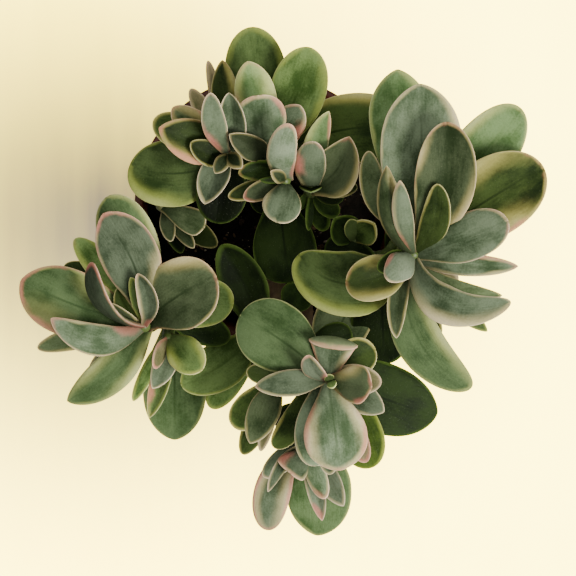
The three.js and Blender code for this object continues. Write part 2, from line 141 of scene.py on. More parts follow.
CREAM = LeafFinish(srgb(132, 122, 90), srgb(88, 94, 57), srgb(202, 182, 138), srgb(216, 196, 166))


@dataclass(frozen=True)
class Patch:
    """A soft patch at a leaf's margin: -1 left or 1 right, where along it, its reach in and along."""

    side: int
    place: float
    breadth: float
    length: float
    pink: bool

    def share(self, t: Array, u: Array, half: Array) -> Array:
        """Strength of the patch at t along, u across: a bell in both directions.

        Args:
            t: 0 at the leaf's base to 1 at its tip.
            u: -1 at the left margin to 1 at the right one.
            half: half width there, in millimetres.

        Returns:
            The strength from 0 to 1.
        """
        inwards = (1 - self.side * u) * half
        return np.exp(-((inwards / self.breadth) ** 2) - ((t - self.place) / self.length) ** 2)


def pale(side: int, place: float, breadth: float, length: float) -> Patch:
    """A patch without green."""
    return Patch(side, place, breadth, length, False)


def flushed(side: int, place: float, breadth: float, length: float) -> Patch:
    """A patch blushed by the sun."""
    return Patch(side, place, breadth, length, True)


@dataclass(frozen=True)
class Leaf:
    """One leaf: where it grows, its own tip, its form and its finish, in millimetres."""

    drop: float
    x: float
    y: float
    z: float
    width: float
    roll: float
    bow: float
    cup: float
    sweep: float
    form: Outline
    finish: LeafFinish
    left: float
    right: float
    pink: float
    # shade scales the whole leaf's colours: partly its own tone, partly painted light and shade for how lit
    # or shaded the leaf lies
    shade: float
    patches: tuple[Patch, ...] = ()
    hook: float = 0.0


@dataclass(frozen=True)
class Head:
    """One growing tip: the path of its stem, the stem's radius at both ends, older leaves, leaves.

    lower holds the rule of the older pairs further down: how far below the tip they start,
    number of pairs, spacing, reach, width, first direction.
    """

    path: tuple[tuple[float, float, float], ...]
    radius: tuple[float, float]
    lower: tuple[float, int, float, float, float, float]
    leaves: tuple[Leaf, ...]


# The floor's glow in the open and in the plant's painted shadow, how strong the glow is, and where that
# painted shadow lies
GLOW_OPEN = (1.0, 0.77, 0.03)
GLOW_SHADED = (0.03, 0.024, 0.013)
GLOW_STRENGTH = 11.0
SHADE_CENTRE = (-0.07, -0.01, 0.0)
SHADE_REACH = (0.19, 0.16, 1.0)


# Surfaces


def unit(vectors: Array) -> Array:
    """Vectors of the same directions with length one."""
    return vectors / np.maximum(np.linalg.norm(vectors, axis=-1, keepdims=True), 1e-12)


def lattice_noise(x: Array, y: Array, seed: float) -> Array:
    """Smooth noise from 0 to 1: hashed values at whole-number corners, blended between them.

    Args:
        x: first coordinate.
        y: second coordinate.
        seed: shifts the hash, so that two fields differ.

    Returns:
        The noise at each point.
    """
    corner_x, corner_y = np.floor(x), np.floor(y)
    blend_x, blend_y = x - corner_x, y - corner_y
    blend_x = blend_x * blend_x * (3 - 2 * blend_x)
    blend_y = blend_y * blend_y * (3 - 2 * blend_y)

    def hashed(step_x: int, step_y: int) -> Array:
        """Value at one corner of the cell, from the fraction of a steep sine."""
        turn = (corner_x + step_x) * HASH_X + (corner_y + step_y) * HASH_Y + seed * HASH_SEED
        wave = np.sin(turn) * HASH_GAIN
        return wave - np.floor(wave)

    near = hashed(0, 0) * (1 - blend_x) + hashed(1, 0) * blend_x
    far = hashed(0, 1) * (1 - blend_x) + hashed(1, 1) * blend_x
    return near * (1 - blend_y) + far * blend_y


def tube_faces(rings: int, sides: int) -> tuple[Array, Array]:
    """Faces of a closed form: rings of points, then one point at its start and one at its end.

    Args:
        rings: number of rings.
        sides: points on each ring.

    Returns:
        The quads between rings and the triangles of both ends, as rows of point numbers.
    """
    ring, side = np.meshgrid(np.arange(rings - 1), np.arange(sides), indexing="ij")
    after = (side + 1) % sides
    here, beyond = ring * sides, (ring + 1) * sides
    quads = np.stack([here + side, here + after, beyond + after, beyond + side], -1)
    side = np.arange(sides)
    after = (side + 1) % sides
    start, end, last = rings * sides, rings * sides + 1, (rings - 1) * sides
    first_cap = np.stack([np.full(sides, start), after, side], -1)
    last_cap = np.stack([np.full(sides, end), last + side, last + after], -1)
    return quads.reshape(-1, 4), np.concatenate([first_cap, last_cap])


def repeated(faces: Array, copies: int, points: int) -> Array:
    """The same faces for several forms whose points follow each other."""
    return (faces[None] + (np.arange(copies) * points)[:, None, None]).reshape(-1, faces.shape[1])


def make_mesh(name: str, points: Array, faces: Sequence[Array]) -> bpy.types.Object:
    """A smooth mesh object at the origin from points in millimetres.

    Args:
        name: name of the object.
        points: points, one a row.
        faces: blocks of faces, each with a fixed number of corners.

    Returns:
        The new object, linked to the scene.
    """
    mesh = bpy.data.meshes.new(name)
    mesh.from_pydata((points * MM).tolist(), [], [row for block in faces for row in block.tolist()])
    mesh.polygons.foreach_set("use_smooth", np.ones(len(mesh.polygons), bool))
    mesh.update()
    piece = bpy.data.objects.new(name, mesh)
    bpy.context.scene.collection.objects.link(piece)
    return piece


class Stored(Enum):
    """Kinds of value that a mesh keeps for its materials: the type and the field that takes it."""

    NUMBER = ("FLOAT", "value")
    VECTOR = ("FLOAT_VECTOR", "vector")
    COLOUR = ("FLOAT_COLOR", "color")

    def put(self, piece: bpy.types.Object, name: str, values: Array) -> None:
        """Stores one value a point under a name that materials can read.

        Args:
            piece: the piece.
            name: name of the stored values.
            values: one value a point, in the order of the points.
        """
        kind, field = self.value
        if self is Stored.COLOUR:
            values = np.concatenate([values, np.ones((len(values), 1))], axis=1)
        kept = piece.data.attributes.new(name, kind, "POINT")
        kept.data.foreach_set(field, values.astype(np.float32).ravel())


# Shader maths


class Value:
    """A socket's output that adds the nodes of the expressions it is used in."""

    def __init__(self, finish: "Finish", socket: bpy.types.NodeSocket) -> None:
        """Keeps the socket and the finish whose tree it is in."""
        self.finish = finish
        self.socket = socket

    def math(self, operation: str, *others: "Value | float") -> "Value":
        """One Math node on this value and up to two others."""
        inputs = dict(enumerate((self, *others)))
        return self.finish.node("ShaderNodeMath", {"operation": operation}, inputs)

    def __add__(self, other: "Value | float") -> "Value":
        """Sum."""
        return self.math("ADD", other)

    __radd__ = __add__

    def __sub__(self, other: "Value | float") -> "Value":
        """Difference."""
        return self.math("SUBTRACT", other)

    def __rsub__(self, other: float) -> "Value":
        """Difference from a number."""
        return self.math("MULTIPLY_ADD", -1.0, other)

    def __mul__(self, other: "Value | float") -> "Value":
        """Product."""
        return self.math("MULTIPLY", other)

    __rmul__ = __mul__

    def __truediv__(self, other: "Value | float") -> "Value":
        """Quotient."""
        return self.math("DIVIDE", other)

    def rises(self, low: float, high: float) -> "Value":
        """0 below low, 1 above high, and a smooth rise between them."""
        return self.finish.node(
            "ShaderNodeMapRange",
            {"interpolation_type": "SMOOTHSTEP"},
            {"Value": self, "From Min": low, "From Max": high},
        )

    def falls(self, low: float, high: float) -> "Value":
        """1 below low, 0 above high, and a smooth fall between them."""
        return 1.0 - self.rises(low, high)


class Finish:
    """A procedural material built node by node on one Principled surface."""

    def __init__(self, name: str, **constants: float | Sequence[float]) -> None:
        """Starts an empty material.

        Args:
            name: name of the material.
            constants: values of the surface's own sockets, by name with _ for a space.
        """
        self.material = bpy.data.materials.new(name)
        self.material.use_nodes = True
        self.tree = self.material.node_tree
        self.tree.nodes.clear()
        self.surface = self.tree.nodes.new("ShaderNodeBsdfPrincipled")
        output = self.tree.nodes.new("ShaderNodeOutputMaterial")
        self.tree.links.new(self.surface.outputs["BSDF"], output.inputs["Surface"])
        for socket, constant in constants.items():
            self.surface.inputs[socket.replace("_", " ")].default_value = constant

    def node(
        self,
        kind: str,
        settings: dict[str, object] | None = None,
        inputs: dict[int | str, object] | None = None,
        outlet: int | str = 0,
    ) -> Value:
        """Adds a node with its settings, then feeds its sockets.

        Args:
            kind: the node's type.
            settings: the node's own properties.
            inputs: values or links by socket number or name.
            outlet: which output to return.

        Returns:
            The chosen output.
        """
        made = self.tree.nodes.new(kind)
        for key, setting in (settings or {}).items():
            setattr(made, key, setting)
        for key, given in (inputs or {}).items():
            if isinstance(given, Value):
                self.tree.links.new(given.socket, made.inputs[key])
            else:
                made.inputs[key].default_value = given
        return Value(self, made.outputs[outlet])

    def number(self, name: str) -> Value:
        """A number stored on the piece."""
        return self.node("ShaderNodeAttribute", {"attribute_name": name}, outlet="Fac")

    def stored(self, name: str) -> Value:
        """A vector stored on the piece."""
        return self.node("ShaderNodeAttribute", {"attribute_name": name}, outlet="Vector")

    def paint(self, name: str) -> Value:
        """A colour stored on the piece."""
        return self.node("ShaderNodeAttribute", {"attribute_name": name}, outlet="Color")

    def place(self) -> Value:
        """Place on the object, in metres."""
        return self.node("ShaderNodeTexCoord", outlet="Object")

    def height(self) -> Value:
        """Height above the pot's base, in metres."""
        return self.node("ShaderNodeSeparateXYZ", inputs={0: self.place()}, outlet="Z")

    def stretched(self, vector: Value, factors: Sequence[float]) -> Value:
        """The vector with each axis multiplied by its factor."""
        return self.node("ShaderNodeVectorMath", {"operation": "MULTIPLY"}, {0: vector, 1: tuple(factors)})

    def noise(self, vector: Value, scale: float, detail: float = 2.0, roughness: float = 0.5) -> Value:
        """Noise around one half at a vector."""
        inputs = {"Vector": vector, "Scale": scale, "Detail": detail, "Roughness": roughness}
        return self.node("ShaderNodeTexNoise", {}, inputs)

    def cells(self, vector: Value, scale: float) -> Value:
        """Distance to the nearest of scattered points, in cell sizes."""
        return self.node("ShaderNodeTexVoronoi", {}, {"Vector": vector, "Scale": scale}, outlet="Distance")

    def mix(self, share: Value | float, first: Value | Colour, second: Value | Colour) -> Value:
        """A colour between two.

        Args:
            share: 0 gives the first, 1 the second.
            first: the first colour.
            second: the second colour.

        Returns:
            The mixed colour.
        """
        pair = [opaque(colour) if isinstance(colour, tuple) else colour for colour in (first, second)]
        return self.node("ShaderNodeMix", {"data_type": "RGBA"}, {0: share, 6: pair[0], 7: pair[1]}, 2)

    def feed(self, socket: str, value: Value) -> None:
        """Links a value to a socket of the surface."""
        self.tree.links.new(value.socket, self.surface.inputs[socket])

    def relief(self, height: Value, depth: float, below: Value | None = None) -> Value:
        """A bumped normal.

        Args:
            height: relief from 0 to 1.
            depth: how deep it is, in metres.
            below: a normal to start from.

        Returns:
            The normal.
        """
        inputs: dict[int | str, object] = {"Height": height, "Distance": depth, "Strength": 1.0}
        if below is not None:
            inputs["Normal"] = below
        return self.node("ShaderNodeBump", {}, inputs)


def leaf_finish() -> bpy.types.Material:
    """Waxy fleshy leaf: soft blotches, a pale fringe that wanders inwards, blush, fine rim, midrib and
    painted shade towards each leaf's base.
    """
    leaf = Finish("fleshy_leaf", IOR=1.42, Specular_IOR_Level=0.08)
    edge, reach, blush = leaf.number("edge"), leaf.number("reach"), leaf.number("blush")
    under, shade_climb, rib = leaf.number("under"), leaf.number("shade_climb"), leaf.number("rib")
    grain = leaf.stored("grain")
    off_middle = leaf.node("ShaderNodeSeparateXYZ", inputs={0: grain}, outlet="X").math("ABSOLUTE")

    clouds = leaf.noise(leaf.stretched(grain, (0.09, 0.065, 1.0)), 1.0, 1.0)
    blotches = leaf.noise(leaf.stretched(grain, (0.24, 0.15, 1.0)), 1.0, 3.0, 0.5)
    fibres = leaf.noise(leaf.stretched(grain, (1.3, 0.2, 1.0)), 1.0, 2.0)
    mottle = leaf.noise(grain, 1.3, 3.0, 0.65)
    tone = clouds * 0.95 + blotches * 0.5 + fibres * 0.2 + mottle * 0.25
    blade = leaf.mix(tone.rises(0.66, 1.16), leaf.paint("streak"), leaf.paint("blade"))

    inwards = edge / reach + (clouds - 0.5) * 2.4 + (blotches - 0.5) * 0.9
    colour = leaf.mix(inwards.falls(0.1, 1.25) * 0.75, blade, leaf.paint("fringe"))
    patch = leaf.number("patch") + (blotches - 0.5) * 0.3
    bleached = leaf.mix(patch.rises(0.55, 1.05) * 0.4, leaf.paint("fringe"), leaf.paint("rim"))
    colour = leaf.mix(patch.rises(0.1, 0.8) * 0.85, colour, bleached)
    flush = (blush * 1.2 + (blotches - 0.5) * 0.9).rises(0.3, 1.0)
    colour = leaf.mix(flush * 0.55, colour, srgb(208, 118, 106))
    rim = (edge + (blotches - 0.5) * 0.4).falls(0.08, 0.5) * blotches.rises(0.16, 0.58)
    colour = leaf.mix(rim * 0.85, colour, leaf.mix(flush * 0.5, leaf.paint("rim"), srgb(216, 142, 126)))
    colour = leaf.mix(off_middle.falls(0.12, 0.7) * rib, colour, leaf.paint("streak"))
    specks = leaf.cells(grain, 1.1).falls(0.05, 0.14)
    colour = leaf.mix(specks * 0.1, colour, srgb(214, 220, 190))
    colour = leaf.mix(mottle.falls(0.34, 0.6) * 0.1, colour, srgb(20, 28, 12))
    colour = leaf.mix(under * 0.35, colour, srgb(150, 164, 118))
    # darkening towards each leaf's base: painted shade from the leaves around it, together with the base's
    # own darker green
    colour = leaf.mix(shade_climb.falls(0.0, 0.55) * 0.6, colour, srgb(16, 24, 6))
    leaf.feed("Base Color", colour)
    leaf.feed("Roughness", blotches * 0.16 + clouds * 0.12 + 0.42)
    leaf.feed("Normal", leaf.relief(mottle, 0.00012, leaf.relief(fibres, 0.00016)))
    return leaf.material


def stem_finish() -> bpy.types.Material:
    """Succulent stem: green above, brown and barky near the mix, with rings and pores."""
    stem = Finish("succulent_stem", IOR=1.42)
    place = stem.place()
    bark = stem.noise(stem.stretched(place, (420.0, 420.0, 150.0)), 1.0, 3.0, 0.6)
    broad = stem.noise(stem.stretched(place, (90.0, 90.0, 40.0)), 1.0, 2.0)
    aged = (stem.height() + (broad - 0.5) * 0.03).falls(0.085, 0.135)
    green = stem.mix(bark, srgb(52, 68, 26), srgb(88, 104, 52))
    brown = stem.mix(bark, srgb(70, 52, 34), srgb(124, 102, 72))
    stem.feed("Base Color", stem.mix(aged, green, brown))
    stem.feed("Roughness", aged * 0.3 + 0.45)
    stem.feed("Normal", stem.relief(bark, 0.0003))
    return stem.material


def mix_finish() -> bpy.types.Material:
    """Damp gritty potting mix: dark peat with brown fibre and lighter grit, darkened nearly to black as
    painted shade inside the pot.
    """
    mix = Finish("potting_mix", IOR=1.4, Specular_IOR_Level=0.06)
    place = mix.place()
    crumb = mix.noise(place, 420.0, 4.0, 0.7)
    clod = mix.noise(place, 110.0, 3.0, 0.6)
    # the peat's colours: partly the dark of damp peat, partly painted shade inside the pot
    colour = mix.mix(clod.rises(0.3, 0.7), srgb(9, 8, 5), srgb(20, 16, 11))
    colour = mix.mix(crumb.rises(0.6, 0.75) * 0.5, colour, srgb(52, 42, 30))
    grit = mix.cells(place, 520.0).falls(0.12, 0.2) * clod.rises(0.48, 0.6)
    colour = mix.mix(grit * 0.45, colour, srgb(126, 116, 98))
    mix.feed("Base Color", colour)
    mix.feed("Roughness", crumb * 0.25 + 0.75)
    mix.feed("Normal", mix.relief(crumb, 0.0008, mix.relief(clod, 0.002)))
    return mix.material


def grit_finish() -> bpy.types.Material:
    """Loose grains: bark, pumice and grit, each of its own colour, darkened as painted shade inside the pot.
    """
    grit = Finish("loose_grit", IOR=1.4, Specular_IOR_Level=0.15)
    speck = grit.noise(grit.place(), 1400.0, 3.0, 0.6)
    colour = grit.mix(speck.rises(0.35, 0.7) * 0.45, grit.paint("grain_colour"), srgb(58, 44, 30))
    grit.feed("Base Color", colour)
    grit.feed("Roughness", speck * 0.2 + 0.7)
    grit.feed("Normal", grit.relief(speck, 0.0003))
    return grit.material


def pot_finish() -> bpy.types.Material:
    """Thin moulded plastic, dark red-brown, with faint clouding, dust low down and fine scuffs."""
    pot = Finish("moulded_pot", IOR=1.48, Specular_IOR_Level=0.25, Coat_Roughness=0.25)
    place = pot.place()
    cloud = pot.noise(place, 34.0, 3.0)
    dust = pot.noise(place, 160.0, 4.0, 0.7)
    scuffs = pot.noise(pot.stretched(place, (60.0, 60.0, 1500.0)), 1.0, 2.0)
    colour = pot.mix(cloud.rises(0.3, 0.7), srgb(62, 23, 11), srgb(86, 34, 17))
    settled = pot.height().falls(0.0, 0.03) * 0.5 + 0.16
    colour = pot.mix(dust.rises(0.52, 0.78) * settled, colour, srgb(140, 112, 92))
    colour = pot.mix(scuffs.rises(0.68, 0.8) * 0.12, colour, srgb(176, 120, 100))
    pot.feed("Base Color", colour)
    pot.feed("Roughness", dust * 0.22 + cloud * 0.1 + 0.26)
    pot.feed("Coat Weight", cloud * 0.2)
    pot.feed("Normal", pot.relief(scuffs, 0.00005, pot.relief(dust, 0.00006)))
    return pot.material


def floor_finish() -> bpy.types.Material:
    """Pale matt studio floor that glows warm, with a painted shadow, dimmer and darker, where the plant keeps
    the light off it.
    """
    floor = Finish("pale_floor", IOR=1.3, Emission_Strength=GLOW_STRENGTH)
    place = floor.place()
    broad = floor.noise(place, 9.0, 3.0)
    fine = floor.noise(place, 420.0, 2.0)
    offset = floor.node("ShaderNodeVectorMath", {"operation": "SUBTRACT"}, {0: place, 1: SHADE_CENTRE})
    scaled = floor.node("ShaderNodeVectorMath", {"operation": "DIVIDE"}, {0: offset, 1: SHADE_REACH})
    away = floor.node("ShaderNodeVectorMath", {"operation": "LENGTH"}, {0: scaled}, "Value")
    grained = floor.noise(floor.stretched(place, (70.0, 4.0, 1.0)), 1.0, 3.0, 0.6)
    # painted shadow: the glow and the floor's colour fall off in a soft patch beside the plant, broken up by
    # noise
    shade = away.falls(0.0, 1.08) + (broad - 0.5) * 0.12 + (grained - 0.5) * 0.1
    floor.feed("Emission Color", floor.mix(shade, GLOW_OPEN, GLOW_SHADED))
    cloth = floor.mix(broad * 0.5 + fine * 0.3, srgb(246, 232, 204), srgb(252, 240, 214))
    floor.feed("Base Color", floor.mix(shade * 0.7, cloth, srgb(150, 135, 102)))
    floor.feed("Roughness", fine * 0.1 + 0.8)
    return floor.material


# The leafy stems


@dataclass(frozen=True)
class LeafyStem:
    """A stem that forks into heads, with its fleshy leaves. It stands for the solid of its name."""

    name: str
    heads: tuple[Head, ...]
    leaf_rings: int = 30
    leaf_sides: int = 32
    stem_rings: int = 56
    stem_sides: int = 20
    thickness: float = 3.6
    least_thickness: float = 1.8
    plumpness: float = 0.24
    groove_depth: float = 0.32
    groove_width: float = 0.07
    unevenness: float = 0.5
    rib_strength: float = 0.8
    roll_start: float = 0.5
    margin_steps: int = 240
    seed: int = 20

    def curve(self, head: Head) -> tuple[Array, Array]:
        """The head's stem as a fine line: a centripetal spline through the points of its path.

        Args:
            head: the head.

        Returns:
            Points along the line and their distance from its start.
        """
        path = np.array(head.path, float)
        ends = (2 * path[:1] - path[1:2], path, 2 * path[-1:] - path[-2:-1])
        knots = np.concatenate(ends)
        place = np.linspace(0, len(path) - 1, 201)
        span = np.minimum(place.astype(int), len(path) - 2)
        share = (place - span)[:, None]
        p0, p1, p2, p3 = (knots[span + step] for step in range(4))
        spans = ((p0, p1), (p1, p2), (p2, p3))
        gap0, gap1, gap2 = (np.sqrt(np.linalg.norm(b - a, axis=1))[:, None] for a, b in spans)
        leave = ((p1 - p0) / gap0 - (p2 - p0) / (gap0 + gap1) + (p2 - p1) / gap1) * gap1
        arrive = ((p2 - p1) / gap1 - (p3 - p1) / (gap1 + gap2) + (p3 - p2) / gap2) * gap1
        square = -3 * p1 + 3 * p2 - 2 * leave - arrive
        cube = 2 * p1 - 2 * p2 + leave + arrive
        line = p1 + leave * share + square * share**2 + cube * share**3
        lengths = np.concatenate([[0], np.cumsum(np.linalg.norm(np.diff(line, axis=0), axis=1))])
        return line, lengths

    def along(self, head: Head, lengths: Array) -> Array:
        """Points on the head's stem at given distances from its start."""
        line, steps = self.curve(head)
        return np.stack([np.interp(lengths, steps, line[:, axis]) for axis in range(3)], -1)

    def below_tip(self, head: Head, drops: Array) -> Array:
        """Points on the head's stem at given distances below its tip."""
        total = self.curve(head)[1][-1]
        return self.along(head, np.maximum(0, total - drops))

    def chance(self, draw: float) -> float:
        """A repeatable number from 0 to 1: the fraction of a steep sine."""
        wave = math.sin(draw * HASH_X + self.seed * HASH_Y) * HASH_GAIN
        return wave - math.floor(wave)

    def older_leaves(self, head: Head) -> list[Leaf]:
        """The head's older leaves: opposite pairs down the stem, each turned a quarter."""
        start, pairs, spacing, reach, width, direction = head.lower
        made = []
        for pair in range(pairs):
            drop = start + pair * spacing
            base = self.below_tip(head, np.array([drop]))[0]
            for half in (0, 180):
                draw = self.chance(drop * 3 + half + base[0])
                angle = math.radians(direction + 90 * pair + half + 24 * (draw - 0.5))
                length = reach * (0.85 + 0.3 * draw)
                x = base[0] + length * math.cos(angle)
                y = base[1] + length * math.sin(angle)
                z = base[2] + 5 - 6 * draw
                broad = width * (0.9 + 0.2 * draw)
                # the older leaves take DEEP, darkened partly as painted shade under the crown
                made.append(Leaf(drop, x, y, z, broad, 0, 2, 0.1, 0, SPOON, DEEP, 1, 1, 0, 1))
        return made

    def leaves(self) -> tuple[Array, list[Leaf]]:
        """Every leaf of the stem and where it grows.

        Returns:
            The points of growth, one a leaf, and the leaves.
        """
        bases, leaves = [], []
        for head in self.heads:
            grown = [*head.leaves, *self.older_leaves(head)]
            bases.append(self.below_tip(head, np.array([leaf.drop for leaf in grown])))
            leaves.extend(grown)
        return np.concatenate(bases), leaves

    def leaf_points(self, base: Array, leaf: Leaf) -> dict[str, Array]:
        """One leaf's surface and what its finish reads.

        The centreline runs straight from base to tip, bowed along the face and swept sideways by
        4t(1 - t). Across it lies a lens: u runs from margin to margin, the margins rise with the
        cup, and the two faces stand apart by the bulk. A shallow groove follows the midrib, the
        faces round off at the margin, and slow noise makes the faces uneven.

        Args:
            base: where the leaf grows.
            leaf: the leaf.

        Returns:
            Points ring by ring, then its start and its end, and a value for each point.
        """
        turn = (np.arange(self.leaf_sides) * 2 * np.pi / self.leaf_sides)[None, :]
        t = (1 - (1 - np.linspace(0, 1, self.leaf_rings + 1)[:-1]) ** 1.9)[:, None]
        u = -np.cos(turn) + 0 * t
        sign = np.sin(turn) + 0 * t
        points, frame_at = self.blade_surface(base, leaf, t, u, sign)
        rim_t = np.linspace(0, 1, self.margin_steps)[:, None]
        rim_u = np.array([[-1.0, 1.0]]) + 0 * rim_t
        margin = self.blade_surface(base, leaf, rim_t, rim_u, 0 * rim_u)[0].reshape(-1, 3)
        tip = margin[-1]
        length = float(np.linalg.norm(np.array([leaf.x, leaf.y, leaf.z]) - base))
        flat = points.reshape(-1, 3)
        gaps = np.sqrt(((flat[:, None] - margin[None]) ** 2).sum(-1)).min(1)
        across = np.concatenate([(u * frame_at).reshape(-1), [0, 0]])
        down = np.concatenate([(t * length + 0 * u).reshape(-1), [0, length]])
        whole = np.concatenate([flat, points[0].mean(0)[None], tip[None]])
        lot = leaf.drop * 3.7 + leaf.x * 1.3 + leaf.y * 0.7
        share = np.concatenate([(t + 0 * u).reshape(-1), [0, 1]])
        side = np.concatenate([u.reshape(-1), [0, 0]])
        top = np.concatenate([sign.reshape(-1), [0, 0]])
        edge = np.concatenate([gaps, [leaf.width / 2, 0]])
        half = np.concatenate([(frame_at + 0 * u).reshape(-1), [leaf.width / 2, 0]])
        spots = {pink: np.zeros(len(whole)) for pink in (False, True)}
        for patch in leaf.patches:
            spots[patch.pink] = np.maximum(spots[patch.pink], patch.share(share, side, half))
        near_base = np.clip(1 - share / 0.34, 0, 1)
        near_tip = np.clip((share - 0.86) / 0.14, 0, 1)
        near_rim = np.clip(1 - edge / 2.2, 0, 1)
        blushed = leaf.pink * np.clip(0.3 * near_base + 0.5 * near_tip + 0.85 * near_rim, 0, 1)
        fades = np.sin(np.pi * np.clip(share * 1.1, 0, 1))
        return {
            "points": whole,
            "edge": edge,
            "reach": np.where(side < 0, leaf.left, leaf.right),
            "blush": np.maximum(blushed, spots[True]),
            "patch": spots[False],
            "under": np.clip(-top * 3, 0, 1),
            # share along the leaf, read by the painted shade at its base
            "shade_climb": share,
            "rib": self.rib_strength * np.clip((leaf.width - 14) / 8, 0, 1) * fades,
            "grain": np.stack([across, down, np.full(len(whole), lot)], -1),
        }

    def blade_surface(self, base: Array, leaf: Leaf, t: Array, u: Array, sign: Array) -> tuple[Array, Array]:
        """Points of a leaf at t along it, u across it and sign through it, and the half width there.

        Args:
            base: where the leaf grows.
            leaf: the leaf.
            t: 0 at the base to 1 at the tip, one a ring.
            u: -1 at the left margin to 1 at the right one.
            sign: above 0 on the upper face and below 0 on the lower one.

        Returns:
            The points, and the half width at each ring.
        """
        chord = np.array([leaf.x, leaf.y, leaf.z]) - base
        along = unit(chord)
        face = unit(np.array([0, 0, 1.0]) - along * along[2])
        roll = math.radians(-leaf.roll)
        face = face * math.cos(roll) + np.cross(along, face) * math.sin(roll)
        side = np.cross(face, along)
        arch, slope = 4 * t * (1 - t), 4 * (1 - 2 * t)
        centre = base + chord * t + face * (leaf.bow * arch) + side * (leaf.sweep * arch)
        heading = unit(chord + face * (leaf.bow * slope) + side * (leaf.sweep * slope))
        across = unit(side - heading * (heading @ side)[:, None])
        normal = np.cross(heading, across)
        if leaf.hook:
            centre, normal = self.rolled(leaf, t, centre, heading, normal)
        half = leaf.width / 2 * leaf.form.half_width(t)
        thickness = max(self.least_thickness, min(self.thickness, leaf.width * self.plumpness))
        bulk = thickness / 2 * (0.72 + 0.28 * np.sin(np.pi * t)) * np.sqrt(np.maximum(0, 1 - t**7))
        size = np.abs(u)
        rise = leaf.cup * half * (0.5 * size + 0.5 * size**2)
        skin = np.sign(sign) * bulk * np.maximum(0, 1 - size**2.6) ** 0.6
        broad = min(1.0, leaf.width / 20)
        dip = np.exp(-((u / self.groove_width) ** 2)) * np.sin(np.pi * np.clip(t * 1.15, 0, 1))
        groove = self.groove_depth * broad * dip
        swell = lattice_noise(u * half / 4.5 + leaf.x, t * 5 + leaf.y, leaf.drop) - 0.5
        uneven = self.unevenness * broad * swell * (1 - size**4) * arch
        skin = skin + np.where(sign > 0, uneven - groove, 0)
        offset = -(u * half)[..., None] * across[:, None] + (rise + skin)[..., None] * normal[:, None]
        return centre[:, None] + offset, half

    def rolled(
        self, leaf: Leaf, t: Array, centre: Array, heading: Array, normal: Array
    ) -> tuple[Array, Array]:
        """The centreline with its outer half rolled back over the leaf in an arc.

        Args:
            leaf: the leaf.
            t: 0 at the base to 1 at the tip, one a ring.
            centre: the centreline before it is rolled.
            heading: its direction at each ring.
            normal: the upper face's direction at each ring.

        Returns:
            The rolled centreline and the upper face's direction along it.
        """
        start = int(np.argmin(np.abs(t.ravel() - self.roll_start)))
        forth, up = heading[start], normal[start]
        turn = math.radians(leaf.hook) * np.clip((t - t[start]) / (1 - t[start]), 0, 1)
        radius = float(np.linalg.norm(centre[-1] - centre[start])) / math.radians(leaf.hook)
        arc = centre[start] + radius * (forth * np.sin(turn) + up * (1 - np.cos(turn)))
        outer = turn > 0
        return np.where(outer, arc, centre), np.where(outer, up * np.cos(turn) - forth * np.sin(turn), normal)

    def stem_points(self, head: Head) -> Array:
        """The head's stem: rings along its line that taper and swell a little at each pair of leaves.

        Args:
            head: the head.

        Returns:
            Points ring by ring, then its start and its end.
        """
        total = self.curve(head)[1][-1]
        steps = np.linspace(0, total, self.stem_rings)
        centres = self.along(head, steps)
        heading = unit(np.gradient(centres, axis=0))
        right = unit(np.cross([0.0, 1.0, 0.0], heading))
        back = np.cross(heading, right)
        radius = np.interp(steps, [0, total], head.radius)
        drops = np.array([*(leaf.drop for leaf in head.leaves), *np.arange(8, total, 9)])
        knuckle = np.exp(-((steps[:, None] - (total - drops)[None]) ** 2) / 1.6).max(1)
        radius = radius * (1 - 0.1 + 0.1 * knuckle) * np.sqrt(np.clip((total - steps) / 1.2 + 0.25, 0, 1))
        turn = np.arange(self.stem_sides) * 2 * np.pi / self.stem_sides
        ring = np.cos(turn)[None, :, None] * right[:, None] + np.sin(turn)[None, :, None] * back[:, None]
        points = centres[:, None] + ring * radius[:, None, None]
        return np.concatenate([points.reshape(-1, 3), centres[:1], centres[-1:] + heading[-1:] * 0.4])

    def build(self, leaf_look: bpy.types.Material, stem_look: bpy.types.Material) -> bpy.types.Object:
        """Builds the stem with all its leaves as one piece and puts it in its solid's place.

        Args:
            leaf_look: the leaves' material.
            stem_look: the stems' material.

        Returns:
            The piece.
        """
        bases, leaves = self.leaves()
        made = [self.leaf_points(base, leaf) for base, leaf in zip(bases, leaves)]
        stems = [self.stem_points(head) for head in self.heads]
        per_leaf, per_stem = len(made[0]["points"]), len(stems[0])
        quads, caps = tube_faces(self.leaf_rings, self.leaf_sides)
        stem_quads, stem_caps = tube_faces(self.stem_rings, self.stem_sides)
        count, first = len(made), len(made) * per_leaf
        faces = [
            repeated(quads, count, per_leaf),
            repeated(caps, count, per_leaf),
            repeated(stem_quads, len(stems), per_stem) + first,
            repeated(stem_caps, len(stems), per_stem) + first,
        ]
        points = np.concatenate([*(part["points"] for part in made), *stems])
        piece = make_mesh(f"{self.name}_grown", points, faces)
        bare = per_stem * len(stems)
        for name in ("edge", "reach", "blush", "patch", "under", "shade_climb", "rib"):
            fill = np.full(bare, 9.0 if name == "edge" else 1.0)
            Stored.NUMBER.put(piece, name, np.concatenate([*(part[name] for part in made), fill]))
        grain = np.concatenate([*(part["grain"] for part in made), np.zeros((bare, 3))])
        Stored.VECTOR.put(piece, "grain", grain)
        for name in ("blade", "streak", "fringe", "rim"):
            tints = [np.tile(self.tint(leaf, name), (per_leaf, 1)) for leaf in leaves]
            Stored.COLOUR.put(piece, name, np.concatenate([*tints, np.zeros((bare, 3))]))
        piece.data.materials.append(leaf_look)
        piece.data.materials.append(stem_look)
        woody = np.zeros(len(piece.data.polygons), np.int32)
        woody[len(faces[0]) + len(faces[1]) :] = 1
        piece.data.polygons.foreach_set("material_index", woody)
        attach(piece, BODY)
        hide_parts(self.name)
